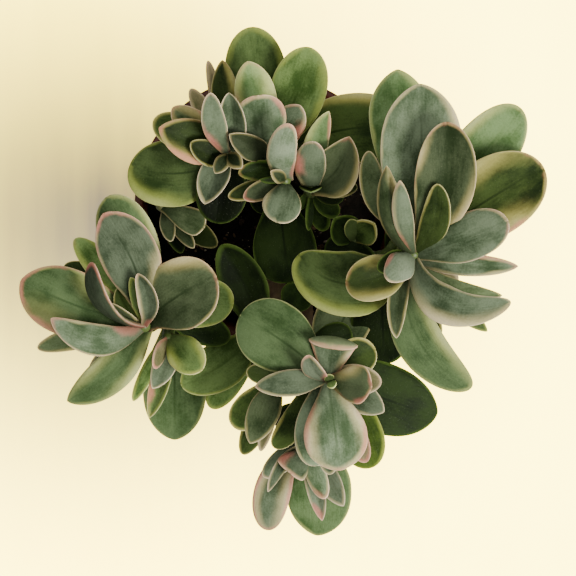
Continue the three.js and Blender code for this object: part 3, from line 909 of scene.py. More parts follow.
        log.info("%s: %d leaves on %d heads", piece.name, count, len(stems))
        return piece

    def tint(self, leaf: Leaf, part: str) -> Array:
        """A leaf's colour for one part of its finish, scaled by its shade (partly painted light and shade), a
        little lighter or darker by chance.
        """
        draw = self.chance(leaf.x * 0.31 + leaf.y * 0.17 + leaf.drop)
        shade = leaf.shade if part in ("blade", "streak") else math.sqrt(leaf.shade)
        return np.array(getattr(leaf.finish, part)) * shade * (0.95 + 0.1 * draw)


STEMS = (
    LeafyStem("stem_top", (
        Head(((-5, 13, 58), (-6, 13, 95), (-2, 17, 125), (0, 18, 154)), (5, 2.6), (34, 2, 9, 20, 12, 200), (
            Leaf(3, -3.2, 42.3, 178, 19.5, 0, 1, -0.15, 0, SPOON, SILVER, 1.4, 1.4, 0.5, 2.1,
                 (flushed(1, 0.8, 2.5, 0.2), flushed(-1, 0.6, 1.6, 0.3))),
            Leaf(2, -14.5, 27.6, 170, 10.5, 15, 1, 0.5, -1.5, ACUTE, DUSKY, 1, 1.2, 0.3, 0.65),
            Leaf(8, 13, 38.8, 166, 13, 0, 1, 0, 0, DROP, SILVER, 1, 1.5, 0.5, 1.15,
                 (flushed(1, 0.6, 5, 0.3),)),
            Leaf(14, -7.5, 55.8, 163, 16, 0, 1, 0.1, -1, DROP, FRESH, 2, 2.4, 0.5, 1.95,
                 (pale(1, 0.45, 6.5, 0.5), pale(-1, 0.6, 3.5, 0.45), flushed(-1, 0.4, 3, 0.4),
                  flushed(1, 0.15, 3.5, 0.2))),
            Leaf(20, 16.3, 61.5, 158, 22, 0, 1, 0.1, -2.5, SPOON, OLIVE, 2, 3.4, 0, 2.3),
            Leaf(26, -6.3, 69.5, 150, 24, 0, 2, 0.05, -0.5, SPOON, OLIVE, 2.6, 2.6, 0, 1.35),
            Leaf(28, 54, 31, 138, 27.5, 0, 2, 0.1, 5, SPOON, DARK, 3.5, 1, 0, 2.95,
                 (pale(-1, 0.75, 4, 0.25),)),
        )),
        Head(((-6, 13, 95), (2, 10, 118), (6, 10, 140), (7, 10, 160)), (3.4, 2.4), (0, 0, 0, 0, 0, 0), (
            Leaf(4, 8.7, 31.3, 185, 11.5, 0, 2, -0.1, 2, PAD, PALE, 1.6, 1, 0.6, 1.25,
                 (flushed(1, 0.22, 1.8, 0.2),)),
            Leaf(5, 3.5, -6.3, 168, 15, 0, 2, 0, 1, SPOON, SILVER, 0.8, 1.6, 0.2, 1.25,
                 (pale(1, 0.6, 2, 0.3),)),
            Leaf(6, -9, 3, 162, 8, 0, 1, 0.2, 0, OVAL, DUSKY, 1, 1, 0.6, 0.85),
            Leaf(12, -15, 3.6, 154, 7.5, 0, 1, 0.4, 0, OVAL, DARK, 1, 1, 0.3, 1.1),
            Leaf(11, -11, 12.5, 158, 8.5, 0, 1, 0.5, -2.5, OVAL, DEEP, 1, 1, 0.5, 2.2),
            Leaf(3, -3, 10, 160, 3, 0, 0, 0.3, 0, POINTED, DEEP, 1, 1, 0.2, 1),
            Leaf(34, 8.5, -29.6, 106, 25, 0, 1, 0.1, 0, SPOON, DEEP, 1, 1, 0, 1.6),
            Leaf(1, 1.5, 13.5, 168, 5.5, 0, 1, 0.2, 0, ACUTE, DUSKY, 1, 1, 0.4, 0.9),
        )),
    )),
    LeafyStem("stem_north_west", (
        Head(((-12, 19, 58), (-12, 20, 95), (-14, 20, 130), (-15, 20, 160)),
             (4.4, 2.4), (46, 1, 9, 13, 11, 100), (
            Leaf(2, -21.5, 43.2, 182, 9.5, 0, 1, 0.2, 2, OVAL, SILVER, 1, 1.3, 0.5, 1.3,
                 (flushed(-1, 0.35, 3, 0.3),)),
            Leaf(4, -14.6, 43.4, 176, 11, 0, 0, 0.8, -1.5, OVAL, SILVER, 0.8, 0.8, 0.3, 1.2),
            Leaf(6, -29.3, 24.6, 166, 10, 0, 1, 0.4, 2, OVAL, DARK, 0.8, 0.8, 0.1, 0.75),
            Leaf(9, -41.6, 30, 168, 17, 0, 1, 0.35, 0, ACUTE, DARK, 2, 1.4, 0.6, 0.95,
                 (flushed(-1, 0.5, 3, 0.5), pale(-1, 0.5, 4, 0.4))),
            Leaf(13, -36.5, 38, 160, 13, 0, 1, 0.4, 0, OVAL, DUSKY, 2, 3, 0.5, 2.9,
                 (pale(1, 0.6, 4, 0.4), flushed(1, 0.5, 2, 0.4))),
            Leaf(22, -44, 33.5, 148, 14, 0, 1, 0.1, 0, SPOON, DARK, 1.5, 1.5, 0.2, 3.25),
            Leaf(26, -53.5, 16, 138, 26, 0, 2, 0.1, 5, ROUND, OLIVE, 2, 1, 0, 0.9,
                 (pale(-1, 0.75, 5.5, 0.28),)),
            Leaf(8, -24, 0.7, 160, 12, 0, 1, 0.7, -1.5, ACUTE, SILVER, 1, 1.4, 0.2, 0.85),
            Leaf(20, -20, -6.4, 138, 20, 0, 1, 0.2, 0, OVAL, DEEP, 1, 1, 0, 0.35),
            Leaf(14, -17.2, 56.6, 153, 11.5, 0, 1, 0.2, 0, ACUTE, DARK, 1, 2, 0.4, 1.2,
                 (pale(1, 0.75, 3, 0.2),)),
            Leaf(20, -22.8, 56.5, 150, 5.5, 0, 0, 0.2, 0, OVAL, CREAM, 2, 2, 0.4, 0.95),
            Leaf(18, -29.6, 45.6, 150, 8, 0, 0, 0.3, 0, OVAL, CREAM, 1.2, 1.2, 0.3, 1.5),
            Leaf(1, -9.5, 14.5, 167, 6.5, 0, 1, 0.2, 0, ACUTE, DUSKY, 1, 1, 0.2, 0.9),
            Leaf(1, -20, 12.5, 166, 6, 0, 1, 0.2, 0, ACUTE, DUSKY, 1, 1, 0.2, 0.75),
        )),
    )),
    LeafyStem("stem_north_east", (
        Head(((17, 3, 58), (17, 4, 95), (17, 6, 125), (17, 8, 152)), (3.8, 2.4), (46, 1, 9, 14, 9, 20), (
            Leaf(2, 17.7, 24.8, 174, 12.3, 0, 2, -0.1, 0.6, PAD, SILVER, 1.6, 1, 0.5, 1.15,
                 (flushed(-1, 0.55, 4.5, 0.3), pale(-1, 0.2, 2.5, 0.2))),
            Leaf(6, 24, 36.5, 168, 9.5, 0, 1, 0.3, 2, ACUTE, FRESH, 1.6, 1.2, 0.4, 1.55,
                 (pale(-1, 0.5, 2.5, 0.4), flushed(1, 0.85, 1.5, 0.2))),
            Leaf(5, 31.8, 26.8, 166, 18.5, 0, 1, 0.6, -4, ACUTE, DUSKY, 1, 1.4, 0.4, 1.3,
                 (pale(1, 0.6, 2.5, 0.35),)),
            Leaf(8, 17, 5.5, 156, 9, 0, 0, 0.3, 0, PAD, DEEP, 1, 1, 0, 0.8),
            Leaf(26, 12, -1, 128, 5, 40, 0, 0, 0, OVAL, DEEP, 1, 1, 0, 3.1),
            Leaf(24, 16.3, -9.2, 124, 6, 60, 0, 0, 0, OVAL, DEEP, 1, 1, 0, 4.5),
            Leaf(26, 27.8, -3.4, 122, 8, 0, 0, 0.4, 0, OVAL, DEEP, 1, 1, 0, 3.5),
            Leaf(32, 22.8, -9.2, 116, 8, 0, 0, 0.4, 0, OVAL, DEEP, 1, 1, 0, 3.55),
            Leaf(34, 12.5, -6.5, 112, 7, 0, 0, 0.3, 0, OVAL, DEEP, 1, 1, 0, 1),
            Leaf(22, 30, 3.5, 128, 8, 0, 0, 0.3, 0, OVAL, DEEP, 1, 1, 0, 0.8),
            Leaf(14, 35.2, 7.5, 142, 8, 0, 0, 0.3, 0, OVAL, DARK, 1, 1, 0, 0.9),
        )),
    )),
    LeafyStem("stem_right", (
        Head(((26, -20, 58), (36, -21, 100), (48, -20, 138), (57, -18.5, 168)),
             (5, 2.8), (36, 2, 10, 20, 13, 250), (
            Leaf(1, 46, 15.3, 186, 11.5, 0, 2, -0.7, 3, SHEATH, DUSKY, 1.2, 1.4, 0.3, 1.55,
                 (pale(1, 0.7, 3, 0.25),)),
            Leaf(8, 58.5, 46.7, 182, 31.5, 0, 3, 0.1, -2.5, DROP, SILVER, 1.2, 1, 0.3, 1.95,
                 (pale(1, 0.75, 3, 0.25),)),
            Leaf(5, 68.3, 31.9, 190, 23.5, 0, 3, 0.3, -6, SPOON, DUSKY, 1, 1, 0.5, 1.1,
                 (pale(-1, 0.8, 3, 0.15), pale(1, 0.4, 3.5, 0.3))),
            Leaf(16, 97.5, 38, 168, 25, 0, 2, 0.1, 0, ROUND, FRESH, 1.6, 1.4, 0.2, 1.7,
                 (pale(-1, 0.8, 4, 0.2),)),
            Leaf(12, 106.5, 15, 172, 30.5, 0, 2, 0.25, 1, SPOON, DARK, 1.1, 1.1, 0.4, 1.4,
                 (pale(-1, 0.5, 7.5, 0.42), pale(1, 0.64, 8, 0.2), flushed(1, 0.6, 2.5, 0.22))),
            Leaf(4, 92.4, -5.5, 184, 18.5, 0, 2, 0, -1, ROUND, SILVER, 1.3, 1, 0.5, 1.45,
                 (flushed(-1, 0.25, 3, 0.2),)),
            Leaf(3, 65.3, 8.3, 186, 11.5, 0, 1, 0.2, -4, OVAL, DARK, 1, 1, 0.2, 1.2),
            Leaf(4, 93.7, -36.8, 178, 15, 0, 2, 0.3, -12, POINTED, SILVER, 1, 2.4, 0.3, 1.3,
                 (pale(1, 0.55, 4.5, 0.35),)),
            Leaf(16, 91, -34.5, 158, 9.5, 30, 0, 0.2, -6, ACUTE, DUSKY, 1, 1, 0.3, 3.25),
            Leaf(20, 97.4, -23.2, 150, 9, 0, 1, 0.3, -1, ACUTE, SILVER, 1.2, 1.2, 0.5, 1.8,
                 (flushed(-1, 0.5, 2, 0.4),)),
            Leaf(22, 74.3, -29, 142, 9, 0, 0, 0.2, 0, SPOON, CREAM, 2, 2, 0.3, 0.9),
            Leaf(10, 79.5, -70, 148, 18.5, 0, 2, 0.1, -10.5, OVAL, FRESH, 2, 1.6, 0.1, 0.75,
                 (pale(-1, 0.6, 4, 0.4),)),
            Leaf(6, 50, -51, 164, 8, 0, 1, 0.5, -2, ACUTE, DUSKY, 1, 1, 0.1, 1.1),
            Leaf(24, 67.3, -50.3, 138, 9, 0, 0, 0.2, 0, OVAL, DARK, 1, 1, 0, 1),
            Leaf(24, 85.8, -48.5, 136, 9, 0, 1, 0.3, 0, ACUTE, OLIVE, 1, 1, 0.2, 1.1),
            Leaf(3, 46, -28.5, 178, 12, 0, 2, -0.2, 0, POINTED, PALE, 1, 1, 0.4, 0.9,
                 (flushed(1, 0.6, 1.8, 0.3),)),
            Leaf(12, 11.8, -19, 152, 25.5, 0, 2, 0.3, 11, HEART, OLIVE, 2.4, 1.2, 0, 0.95,
                 (pale(-1, 0.6, 4.5, 0.35),)),
            Leaf(7, 30.3, -29.5, 166, 17.5, 0, 1, 0.5, 3, ROUND, DARK, 2, 2.6, 0.4, 0.85,
                 (pale(1, 0.4, 5, 0.3), pale(-1, 0.7, 4, 0.3))),
            Leaf(44, 46, -61.5, 106, 25, 0, 1, 0.1, 0, OVAL, DEEP, 1, 1, 0, 0.95),
            Leaf(54, 23.5, -57, 112, 22.5, 0, 1, 0.1, 0, ROUND, DUSKY, 1, 1, 0, 2.4),
            Leaf(1, 51, 9.5, 189, 8, 0, 2, -0.3, 1.5, ACUTE, SILVER, 1.4, 1, 0.5, 1.35,
                 (pale(-1, 0.45, 1.5, 0.5), flushed(-1, 0.22, 1.6, 0.2))),
            Leaf(5, 42.5, -24.5, 172, 9, 0, 1, 0.3, 0, OVAL, DEEP, 1, 1, 0.1, 1.6),
        )),
        Head(((46, -20, 132), (51, -13, 146), (54, -6, 156)), (3, 2.2), (0, 0, 0, 0, 0, 0), (
            Leaf(2, 50.5, 52.9, 158, 24, 0, 2, 0.1, 0, SPADE, FRESH, 1.4, 2.2, 0.1, 2,
                 (pale(1, 0.7, 4, 0.3),)),
            Leaf(6, 39.3, 21.2, 166, 10.5, 0, 1, 0.3, 4, OVAL, DUSKY, 1, 1, 0.3, 3),
        )),
        Head(((36, -21, 100), (35, -15, 116), (34.5, -12.5, 128)), (3, 1.8), (0, 0, 0, 0, 0, 0), (
            Leaf(4, 26, -4.5, 136, 13, 0, 0, 0.5, 0, ROUND, DEEP, 1, 1, 0.2, 2.6),
            Leaf(1, 32.5, -4.8, 140, 7, 0, 0, 0.2, 0, PAD, OLIVE, 1, 1, 0.2, 1.6),
            Leaf(2, 42, -6.5, 142, 11, 0, 0, 0.4, 0, ROUND, DARK, 1, 1, 0.2, 4.5),
            Leaf(5, 41, -26.5, 134, 9, 0, 0, 0.3, 0, OVAL, DEEP, 1, 1, 0, 1.5),
        )),
    )),
    LeafyStem("stem_left", (
        Head(((-25, -25, 58), (-33, -33, 100), (-42, -42, 135), (-48, -46.5, 160)),
             (5, 2.6), (38, 2, 10, 18, 12, 120), (
            Leaf(4, -62.7, -3, 180, 22.5, 0, 2, 0.15, -4.2, DROP, SILVER, 1.1, 1.3, 0.7, 0.95,
                 (pale(1, 0.42, 5.5, 0.16),)),
            Leaf(12, -61.3, 3.8, 166, 22, 0, 2, 0.1, -2.5, SPOON, FRESH, 1, 2, 0.3, 0.9,
                 (pale(1, 0.6, 2.5, 0.4),)),
            Leaf(9, -94.8, -28.5, 164, 26, 0, 3, 0.25, 2.5, DROP, FRESH, 1.2, 1.2, 0.8, 0.8,
                 (pale(1, 0.5, 8, 0.16), pale(-1, 0.7, 9, 0.2), flushed(-1, 0.72, 3.5, 0.2))),
            Leaf(3, -82.8, -43.2, 178, 12.5, 0, 3, -0.1, 7, ACUTE, SILVER, 0.8, 1.2, 0.6, 1.95,
                 (flushed(1, 0.22, 5, 0.18),)),
            Leaf(2, -66.5, -21.8, 184, 13, 65, 7, 0, 2, OVAL, SILVER, 1, 1, 0.8, 0.7),
            Leaf(5, -19.3, -27, 172, 27.5, 0, 3, 0.25, 2, ROUND, DUSKY, 1.2, 1.1, 0.5, 1.25,
                 (pale(-1, 0.78, 5, 0.22), pale(-1, 0.3, 4, 0.25))),
            Leaf(14, -12.8, -37.5, 150, 19, 0, 1, 0.1, 3, ROUND, OLIVE, 2, 1.5, 0.1, 2.95),
            Leaf(1, -49.6, -26, 176, 8, 0, 1, 0.6, -3, OVAL, SILVER, 1.2, 1, 0.5, 0.8,
                 (pale(-1, 0.5, 1.5, 0.6), flushed(1, 0.08, 2.5, 0.14))),
            Leaf(18, -74.6, -12.5, 144, 12.5, 0, 1, 0.1, 0, OVAL, OLIVE, 1.6, 1.6, 0.3, 4,
                 (pale(-1, 0.6, 3, 0.4),)),
            Leaf(20, -78.8, -23, 142, 13, 0, 1, 0.1, -1, OVAL, DARK, 1, 1, 0.1, 1.2),
            Leaf(10, -77.3, -75.3, 152, 15.5, 0, 2, 0.1, 4, ACUTE, FRESH, 1.4, 2, 0.1, 0.87,
                 (pale(1, 0.62, 4, 0.3), pale(-1, 0.4, 4, 0.3))),
            Leaf(26, -89.5, -55, 130, 10, 0, 1, 0.2, 0, OVAL, DUSKY, 1.2, 1.2, 0.4, 3.4,
                 (pale(-1, 0.4, 2, 0.4),)),
            Leaf(22, -69, -65, 138, 10, 0, 0, 0.2, 0, OVAL, SILVER, 1, 1, 0.5, 1),
            Leaf(30, -14.5, -51.5, 122, 13, 0, 0, 0.2, 0, OVAL, DEEP, 1, 1, 0, 2.3),
            Leaf(2, -52.4, -27.5, 172, 7.5, 0, 1, 0.1, -1.5, ACUTE, OLIVE, 1.6, 1, 0.1, 1.7),
            Leaf(3, -59.5, -37.5, 164, 6, 30, 1, 0.3, 1, ACUTE, DUSKY, 1, 1, 0.1, 1),
            Leaf(3, -57.5, -31.5, 164, 7, 30, 1, 0.4, 1.5, ACUTE, DARK, 1, 1, 0.1, 1.1),
        )),
        Head(((-33, -33, 100), (-37, -43, 124), (-38.5, -51.5, 146)), (3.4, 2.2), (0, 0, 0, 0, 0, 0), (
            Leaf(3, -25, -63.6, 158, 14, 0, 1, 0.3, 0, ROUND, OLIVE, 1.4, 1.6, 0.4, 2.3,
                 (pale(-1, 0.75, 3.5, 0.3), pale(1, 0.5, 4, 0.3))),
            Leaf(2, -44, -62, 158, 8, 50, 0, 0, 0, OVAL, CREAM, 1, 1, 0.8, 0.9),
            Leaf(5, -44.3, -70.5, 152, 9.5, 0, 1, 0.3, 2, ACUTE, SILVER, 1, 1, 0.2, 1.35),
            Leaf(6, -45.6, -82, 150, 8, 0, 1, 0.6, 1, ACUTE, OLIVE, 1.5, 2, 0.4, 1.4,
                 (flushed(1, 0.5, 3, 0.5),)),
            Leaf(10, -52, -75.5, 140, 6, 0, 0, 0.3, 0, OVAL, OLIVE, 1, 1, 0.1, 3.8),
            Leaf(30, -36.5, -91.5, 94, 25, 0, 2, 0.1, 0, SHIELD, FRESH, 1.4, 1.4, 0, 1.2),
        )),
    )),
    LeafyStem("stem_rim", (
        Head(((-37, -2, 58), (-39, -1, 90), (-42, 0.5, 118)), (2.8, 1.8), (0, 0, 0, 0, 0, 0), (
            Leaf(2, -24.3, -7.8, 126, 10.5, 0, 0, 0.2, 0, FAN, DUSKY, 0.7, 0.7, 0.1, 2.55),
            Leaf(9, -19.5, -15.2, 118, 9.5, 0, 0, 0.2, 0, OVAL, DARK, 1, 1, 0, 1.25),
            Leaf(12, -37.5, -13.5, 124, 6, 0, 0, 0.2, 0, OVAL, DUSKY, 0.7, 0.7, 0, 2.05),
            Leaf(16, -33.5, -18, 112, 7, 0, 0, 0.2, 0, OVAL, DEEP, 1, 1, 0, 0.8),
            Leaf(12, -28.5, -16, 123, 6, 0, 0, 0.2, 0, OVAL, DUSKY, 0.7, 0.7, 0, 1.8),
        )),
    )),
    LeafyStem("stem_mid", (
        Head(((-8, -26, 58), (-6, -38, 90), (-4, -50, 114)), (3.4, 2.2), (0, 0, 0, 0, 0, 0), (
            Leaf(3, -18, -14.8, 130, 18, 0, 1, 0.4, -2.5, OVAL, DEEP, 2, 1.4, 0, 1),
            Leaf(4, -33.6, -69.5, 126, 19, 0, 1, 0.1, 3, OVAL, OLIVE, 1.2, 1.2, 0, 2.75),
            Leaf(12, -22, -79, 104, 15, 0, 0, 0.1, 0, OVAL, OLIVE, 1.5, 1.5, 0, 4.5),
            Leaf(8, -8.5, -66, 118, 8, 0, 0, 0.3, 0, OVAL, DARK, 1, 1, 0.2, 1),
        )),
    )),
    LeafyStem("stem_bottom", (
        Head(((2, -23, 58), (5, -36, 95), (12, -52, 130), (20, -63, 152), (24.5, -67.5, 166)),
             (4.6, 2.4), (34, 1, 9, 18, 11, 10), (
            Leaf(5, -10.3, -42, 170, 26.8, 0, 3, 0.05, -1.5, SPOON, FRESH, 0.8, 0.6, 0.1, 0.7),
            Leaf(3, -4.5, -69.4, 176, 10.5, 0, 2, 0, 0, ACUTE, SILVER, 1, 1.2, 0.4, 0.95),
            Leaf(3, 27, -42.5, 173, 19, 0, 1, 0.1, 0, FAN, SILVER, 1.6, 1.6, 0.9, 1.45,
                 (pale(1, 0.45, 3, 0.3),), 135),
            Leaf(1, 16.3, -57.2, 180, 9, 40, 1, 0.3, 1.5, OVAL, PALE, 1.2, 1.4, 0.6, 0.65,
                 (flushed(1, 0.25, 3, 0.25),)),
            Leaf(0, 23.5, -64.8, 172, 4, 0, 0, 0.2, 0, OVAL, OLIVE, 0.6, 0.6, 0.1, 0.6),
            Leaf(0, 25.8, -70, 172, 4, 0, 0, 0.2, 0, OVAL, OLIVE, 0.6, 0.6, 0.1, 3),
            Leaf(2, 40.5, -69.5, 176, 15, 0, 0, 0.4, 0, FAN, DUSKY, 1.2, 1.5, 0.6, 1.45,
                 (pale(-1, 0.5, 4, 0.3), flushed(1, 0.9, 3, 0.2))),
            Leaf(7, 44.3, -68, 166, 12, 0, 0, 0.3, 0, OVAL, CREAM, 1, 1, 0.4, 0.95),
            Leaf(8, 45.3, -79.3, 164, 12.5, 0, 0, 0.3, 0, ACUTE, SILVER, 1.2, 1.2, 0.2, 1.05),
            Leaf(3, 28.3, -101.8, 172, 24.5, 0, 2, -0.1, 0, DROP, SILVER, 1.8, 1.6, 0.5, 2.45,
                 (pale(1, 0.62, 5, 0.3), pale(-1, 0.45, 4.5, 0.35), flushed(-1, 0.7, 2.5, 0.3),
                  flushed(1, 0.5, 2.5, 0.3))),
            Leaf(10, 18.5, -100.5, 158, 16, 0, 1, 0.1, -1, SPOON, SILVER, 1, 1, 0.3, 2.3),
            Leaf(14, 24.5, -103.9, 150, 10, 0, 0, 0.2, 0, SPOON, SILVER, 1, 1, 0.2, 1.2),
            Leaf(8, 38.5, -98.8, 164, 10, 0, 0, 0.3, 0, SPOON, CREAM, 1, 1, 0.7, 1),
            Leaf(15, 40.5, -101.3, 150, 19, 0, 1, 0.1, 2, SPOON, BRIGHT, 1.3, 1.3, 0, 1.1),
            Leaf(24, 66.5, -80.3, 134, 27.5, 0, 2, 0.1, -3, SHIELD, DEEP, 1.2, 1.2, 0, 1.4),
            Leaf(12, 42, -55, 156, 15, 0, 0, 0.4, 0, ROUND, DARK, 1.1, 1.1, 0.1, 1.65),
            Leaf(20, 2.5, -93.5, 140, 10.5, 0, 1, 0.3, 3, SPOON, DARK, 1.1, 1.1, 0.1, 1.95),
            Leaf(66, 15, -30, 104, 13, 0, 0, 0.1, 0, OVAL, DEEP, 1, 1, 0, 3.55),
        )),
        Head(((12, -52, 130), (7, -61, 138), (4, -68, 147)), (2.6, 2), (0, 0, 0, 0, 0, 0), (
            Leaf(4, -13, -85.6, 144, 13, 0, 1, 0.3, 0, SPOON, DARK, 1.2, 1.2, 0.1, 4.2),
            Leaf(2, -6.5, -91.7, 156, 12.5, 0, 1, 0.2, 0, ACUTE, DUSKY, 1.1, 1.1, 0.2, 1.4),
            Leaf(8, -9.5, -96.4, 134, 10.5, 0, 1, 0.1, 0, OVAL, DARK, 1.1, 1.1, 0.1, 1.6),
            Leaf(5, -2.5, -95, 142, 6, 0, 0, 0.3, 0, OVAL, CREAM, 1, 1, 0.2, 0.9),
            Leaf(3, -8, -63.8, 148, 8, 0, 0, 0.3, 0, OVAL, DARK, 1, 1, 0.1, 1.4),
        )),
    )),
    LeafyStem("stem_low", (
        Head(((15, -27, 58), (15, -37, 84), (14.5, -53, 102), (15, -75, 116), (15.5, -96, 134)),
             (4, 2.4), (26, 1, 9, 17, 11, 230), (
            Leaf(13, 19.5, -128.6, 116, 25.6, 0, 2, 0.05, 2.6, SHIELD, FRESH, 1.3, 1.3, 0, 1.05),
            Leaf(11, 0.6, -126.4, 120, 14.5, 0, 2, 0.1, -4.3, SPOON, SILVER, 2, 3, 0.6, 1.4,
                 (pale(-1, 0.55, 4.5, 0.5), pale(1, 0.5, 3.5, 0.5), flushed(-1, 0.5, 1.6, 0.5),
                  flushed(1, 0.5, 1.6, 0.5))),
            Leaf(7, -1.5, -105, 134, 9, 0, 0, 0.2, 0, OVAL, SILVER, 1, 1, 0.4, 1.9),
            Leaf(2, 8.5, -103, 146, 13, 0, 0, -0.1, 0, FAN, SILVER, 1.4, 1.4, 0.6, 1.2,
                 (flushed(1, 0.7, 4.5, 0.35),)),
            Leaf(5, 0.3, -110.8, 142, 6, 30, 0, 0.2, -3, ACUTE, SILVER, 1, 1, 0.4, 0.9),
            Leaf(2, 22.5, -113.3, 148, 8, 0, 0, 0, 0, OVAL, SILVER, 1, 1, 0.6, 4.5,
                 (flushed(1, 0.9, 2.5, 0.2),)),
            Leaf(5, 21.5, -122, 142, 7.5, 0, 0, 0.6, 0, ACUTE, PALE, 1.2, 1.2, 0.5, 1.05,
                 (flushed(1, 0.9, 3, 0.15),)),
            Leaf(4, 29.8, -116.3, 144, 10, 0, 0, 0.4, 0, ACUTE, PALE, 1.2, 1.2, 0.1, 0.95),
        )),
    )),
)

# The pot and its mix


@dataclass(frozen=True)
class Pot:
    """The tapered plastic pot. It stands for the solid pot."""

    height: float = 90.0
    rim_radius: float = 52.5
    base_radius: float = 38.0
    wall: float = 1.8
    floor: float = 2.4
    band: float = 11.0
    step: float = 1.8
    sides: int = 192
    drain_radius: float = 4.5
    drain_ring: float = 25.0
    drains: int = 5
    drain_sides: int = 32
    crease: float = 38.0

    def profile(self) -> Array:
        """The pot's outline from the middle of its underside, up outside, over the rim and down inside.

        Returns:
            Radius and height of each point, in millimetres.
        """
        shoulder, top = self.rim_radius - self.step, self.height
        inner_top, inner_base = shoulder - self.wall, self.base_radius - self.wall
        band = top - self.band

        def wall_at(z: float) -> float:
            """Radius of the straight wall at a height."""
            return self.base_radius + (shoulder - 0.8 - self.base_radius) * (z - 1.5) / (band - 1.5)

        outer = [
            (self.base_radius - 1.5, 0), (self.base_radius - 0.7, 0.2), (self.base_radius - 0.2, 0.7),
            (self.base_radius, 1.5), (wall_at(9.0), 9.0), (wall_at(9.3) + 0.25, 9.4),
            (wall_at(10.4) + 0.25, 10.5), (wall_at(10.8), 10.9), (wall_at(40), 40), (wall_at(70), 70),
            (shoulder - 0.85, band - 0.7), (shoulder - 0.5, band - 0.15), (shoulder, band),
            (self.rim_radius - 0.8, band + 0.05), (self.rim_radius - 0.45, band + 0.3),
            (self.rim_radius - 0.35, band + 0.9), (self.rim_radius - 0.1, top - 2.2),
            (self.rim_radius, top - 1.2), (self.rim_radius - 0.15, top - 0.5),
            (self.rim_radius - 0.5, top - 0.1), (self.rim_radius - 0.9, top),
        ]
        inner = [
            (inner_top + 0.9, top), (inner_top + 0.45, top - 0.15), (inner_top + 0.1, top - 0.6),
            (inner_top, top - 1.4), (inner_top - 1.2, band), (inner_base + 0.8, self.floor + 1.6),
            (inner_base, self.floor + 0.4), (inner_base - 0.6, self.floor),
        ]
        return np.array(outer + inner, float)

    def build(self, look: bpy.types.Material) -> bpy.types.Object:
        """Turns the profile round the axis, cuts the drain holes and puts the pot in its place.

        Args:
            look: the pot's material.

        Returns:
            The piece.
        """
        profile = self.profile()
        turn = np.arange(self.sides) * 2 * np.pi / self.sides
        radius, height = profile[:, 0, None], profile[:, 1, None]
        rings = np.stack([radius * np.cos(turn), radius * np.sin(turn), height + 0 * turn], -1)
        points = np.concatenate([rings.reshape(-1, 3), [[0, 0, 0], [0, 0, self.floor]]])
        piece = make_mesh("pot_moulded", points, tube_faces(len(profile), self.sides))
        for number in range(self.drains):
            angle = 2 * math.pi * (number + 0.5) / self.drains
            self.drill(piece, self.drain_ring * math.cos(angle), self.drain_ring * math.sin(angle))
        piece.data.set_sharp_from_angle(angle=math.radians(self.crease))
        piece.data.materials.clear()
        piece.data.materials.append(look)
        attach(piece, BODY)
        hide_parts("pot")
        log.info("%s: %d faces", piece.name, len(piece.data.polygons))
        return piece

    def drill(self, piece: bpy.types.Object, x: float, y: float) -> None:
        """Cuts one drain hole through the floor.

        Args:
            piece: the pot.
            x: the hole's place, in millimetres.
            y: the hole's place, in millimetres.
        """
        turn = np.arange(self.drain_sides) * 2 * np.pi / self.drain_sides
        circle = np.stack([x + self.drain_radius * np.cos(turn), y + self.drain_radius * np.sin(turn)], -1)
        under, over = -self.floor, 2 * self.floor
        rings = [np.column_stack([circle, np.full(self.drain_sides, z)]) for z in (under, over)]
        ends = [[x, y, under], [x, y, over]]
        tool = make_mesh("drain_cutter", np.concatenate([*rings, ends]), tube_faces(2, self.drain_sides))
        cut = piece.modifiers.new("drain", "BOOLEAN")
        cut.operation, cut.object, cut.solver = "DIFFERENCE", tool, "EXACT"
        graph = bpy.context.evaluated_depsgraph_get()
        piece.data = bpy.data.meshes.new_from_object(piece.evaluated_get(graph))
        piece.modifiers.clear()
        bpy.data.objects.remove(tool)


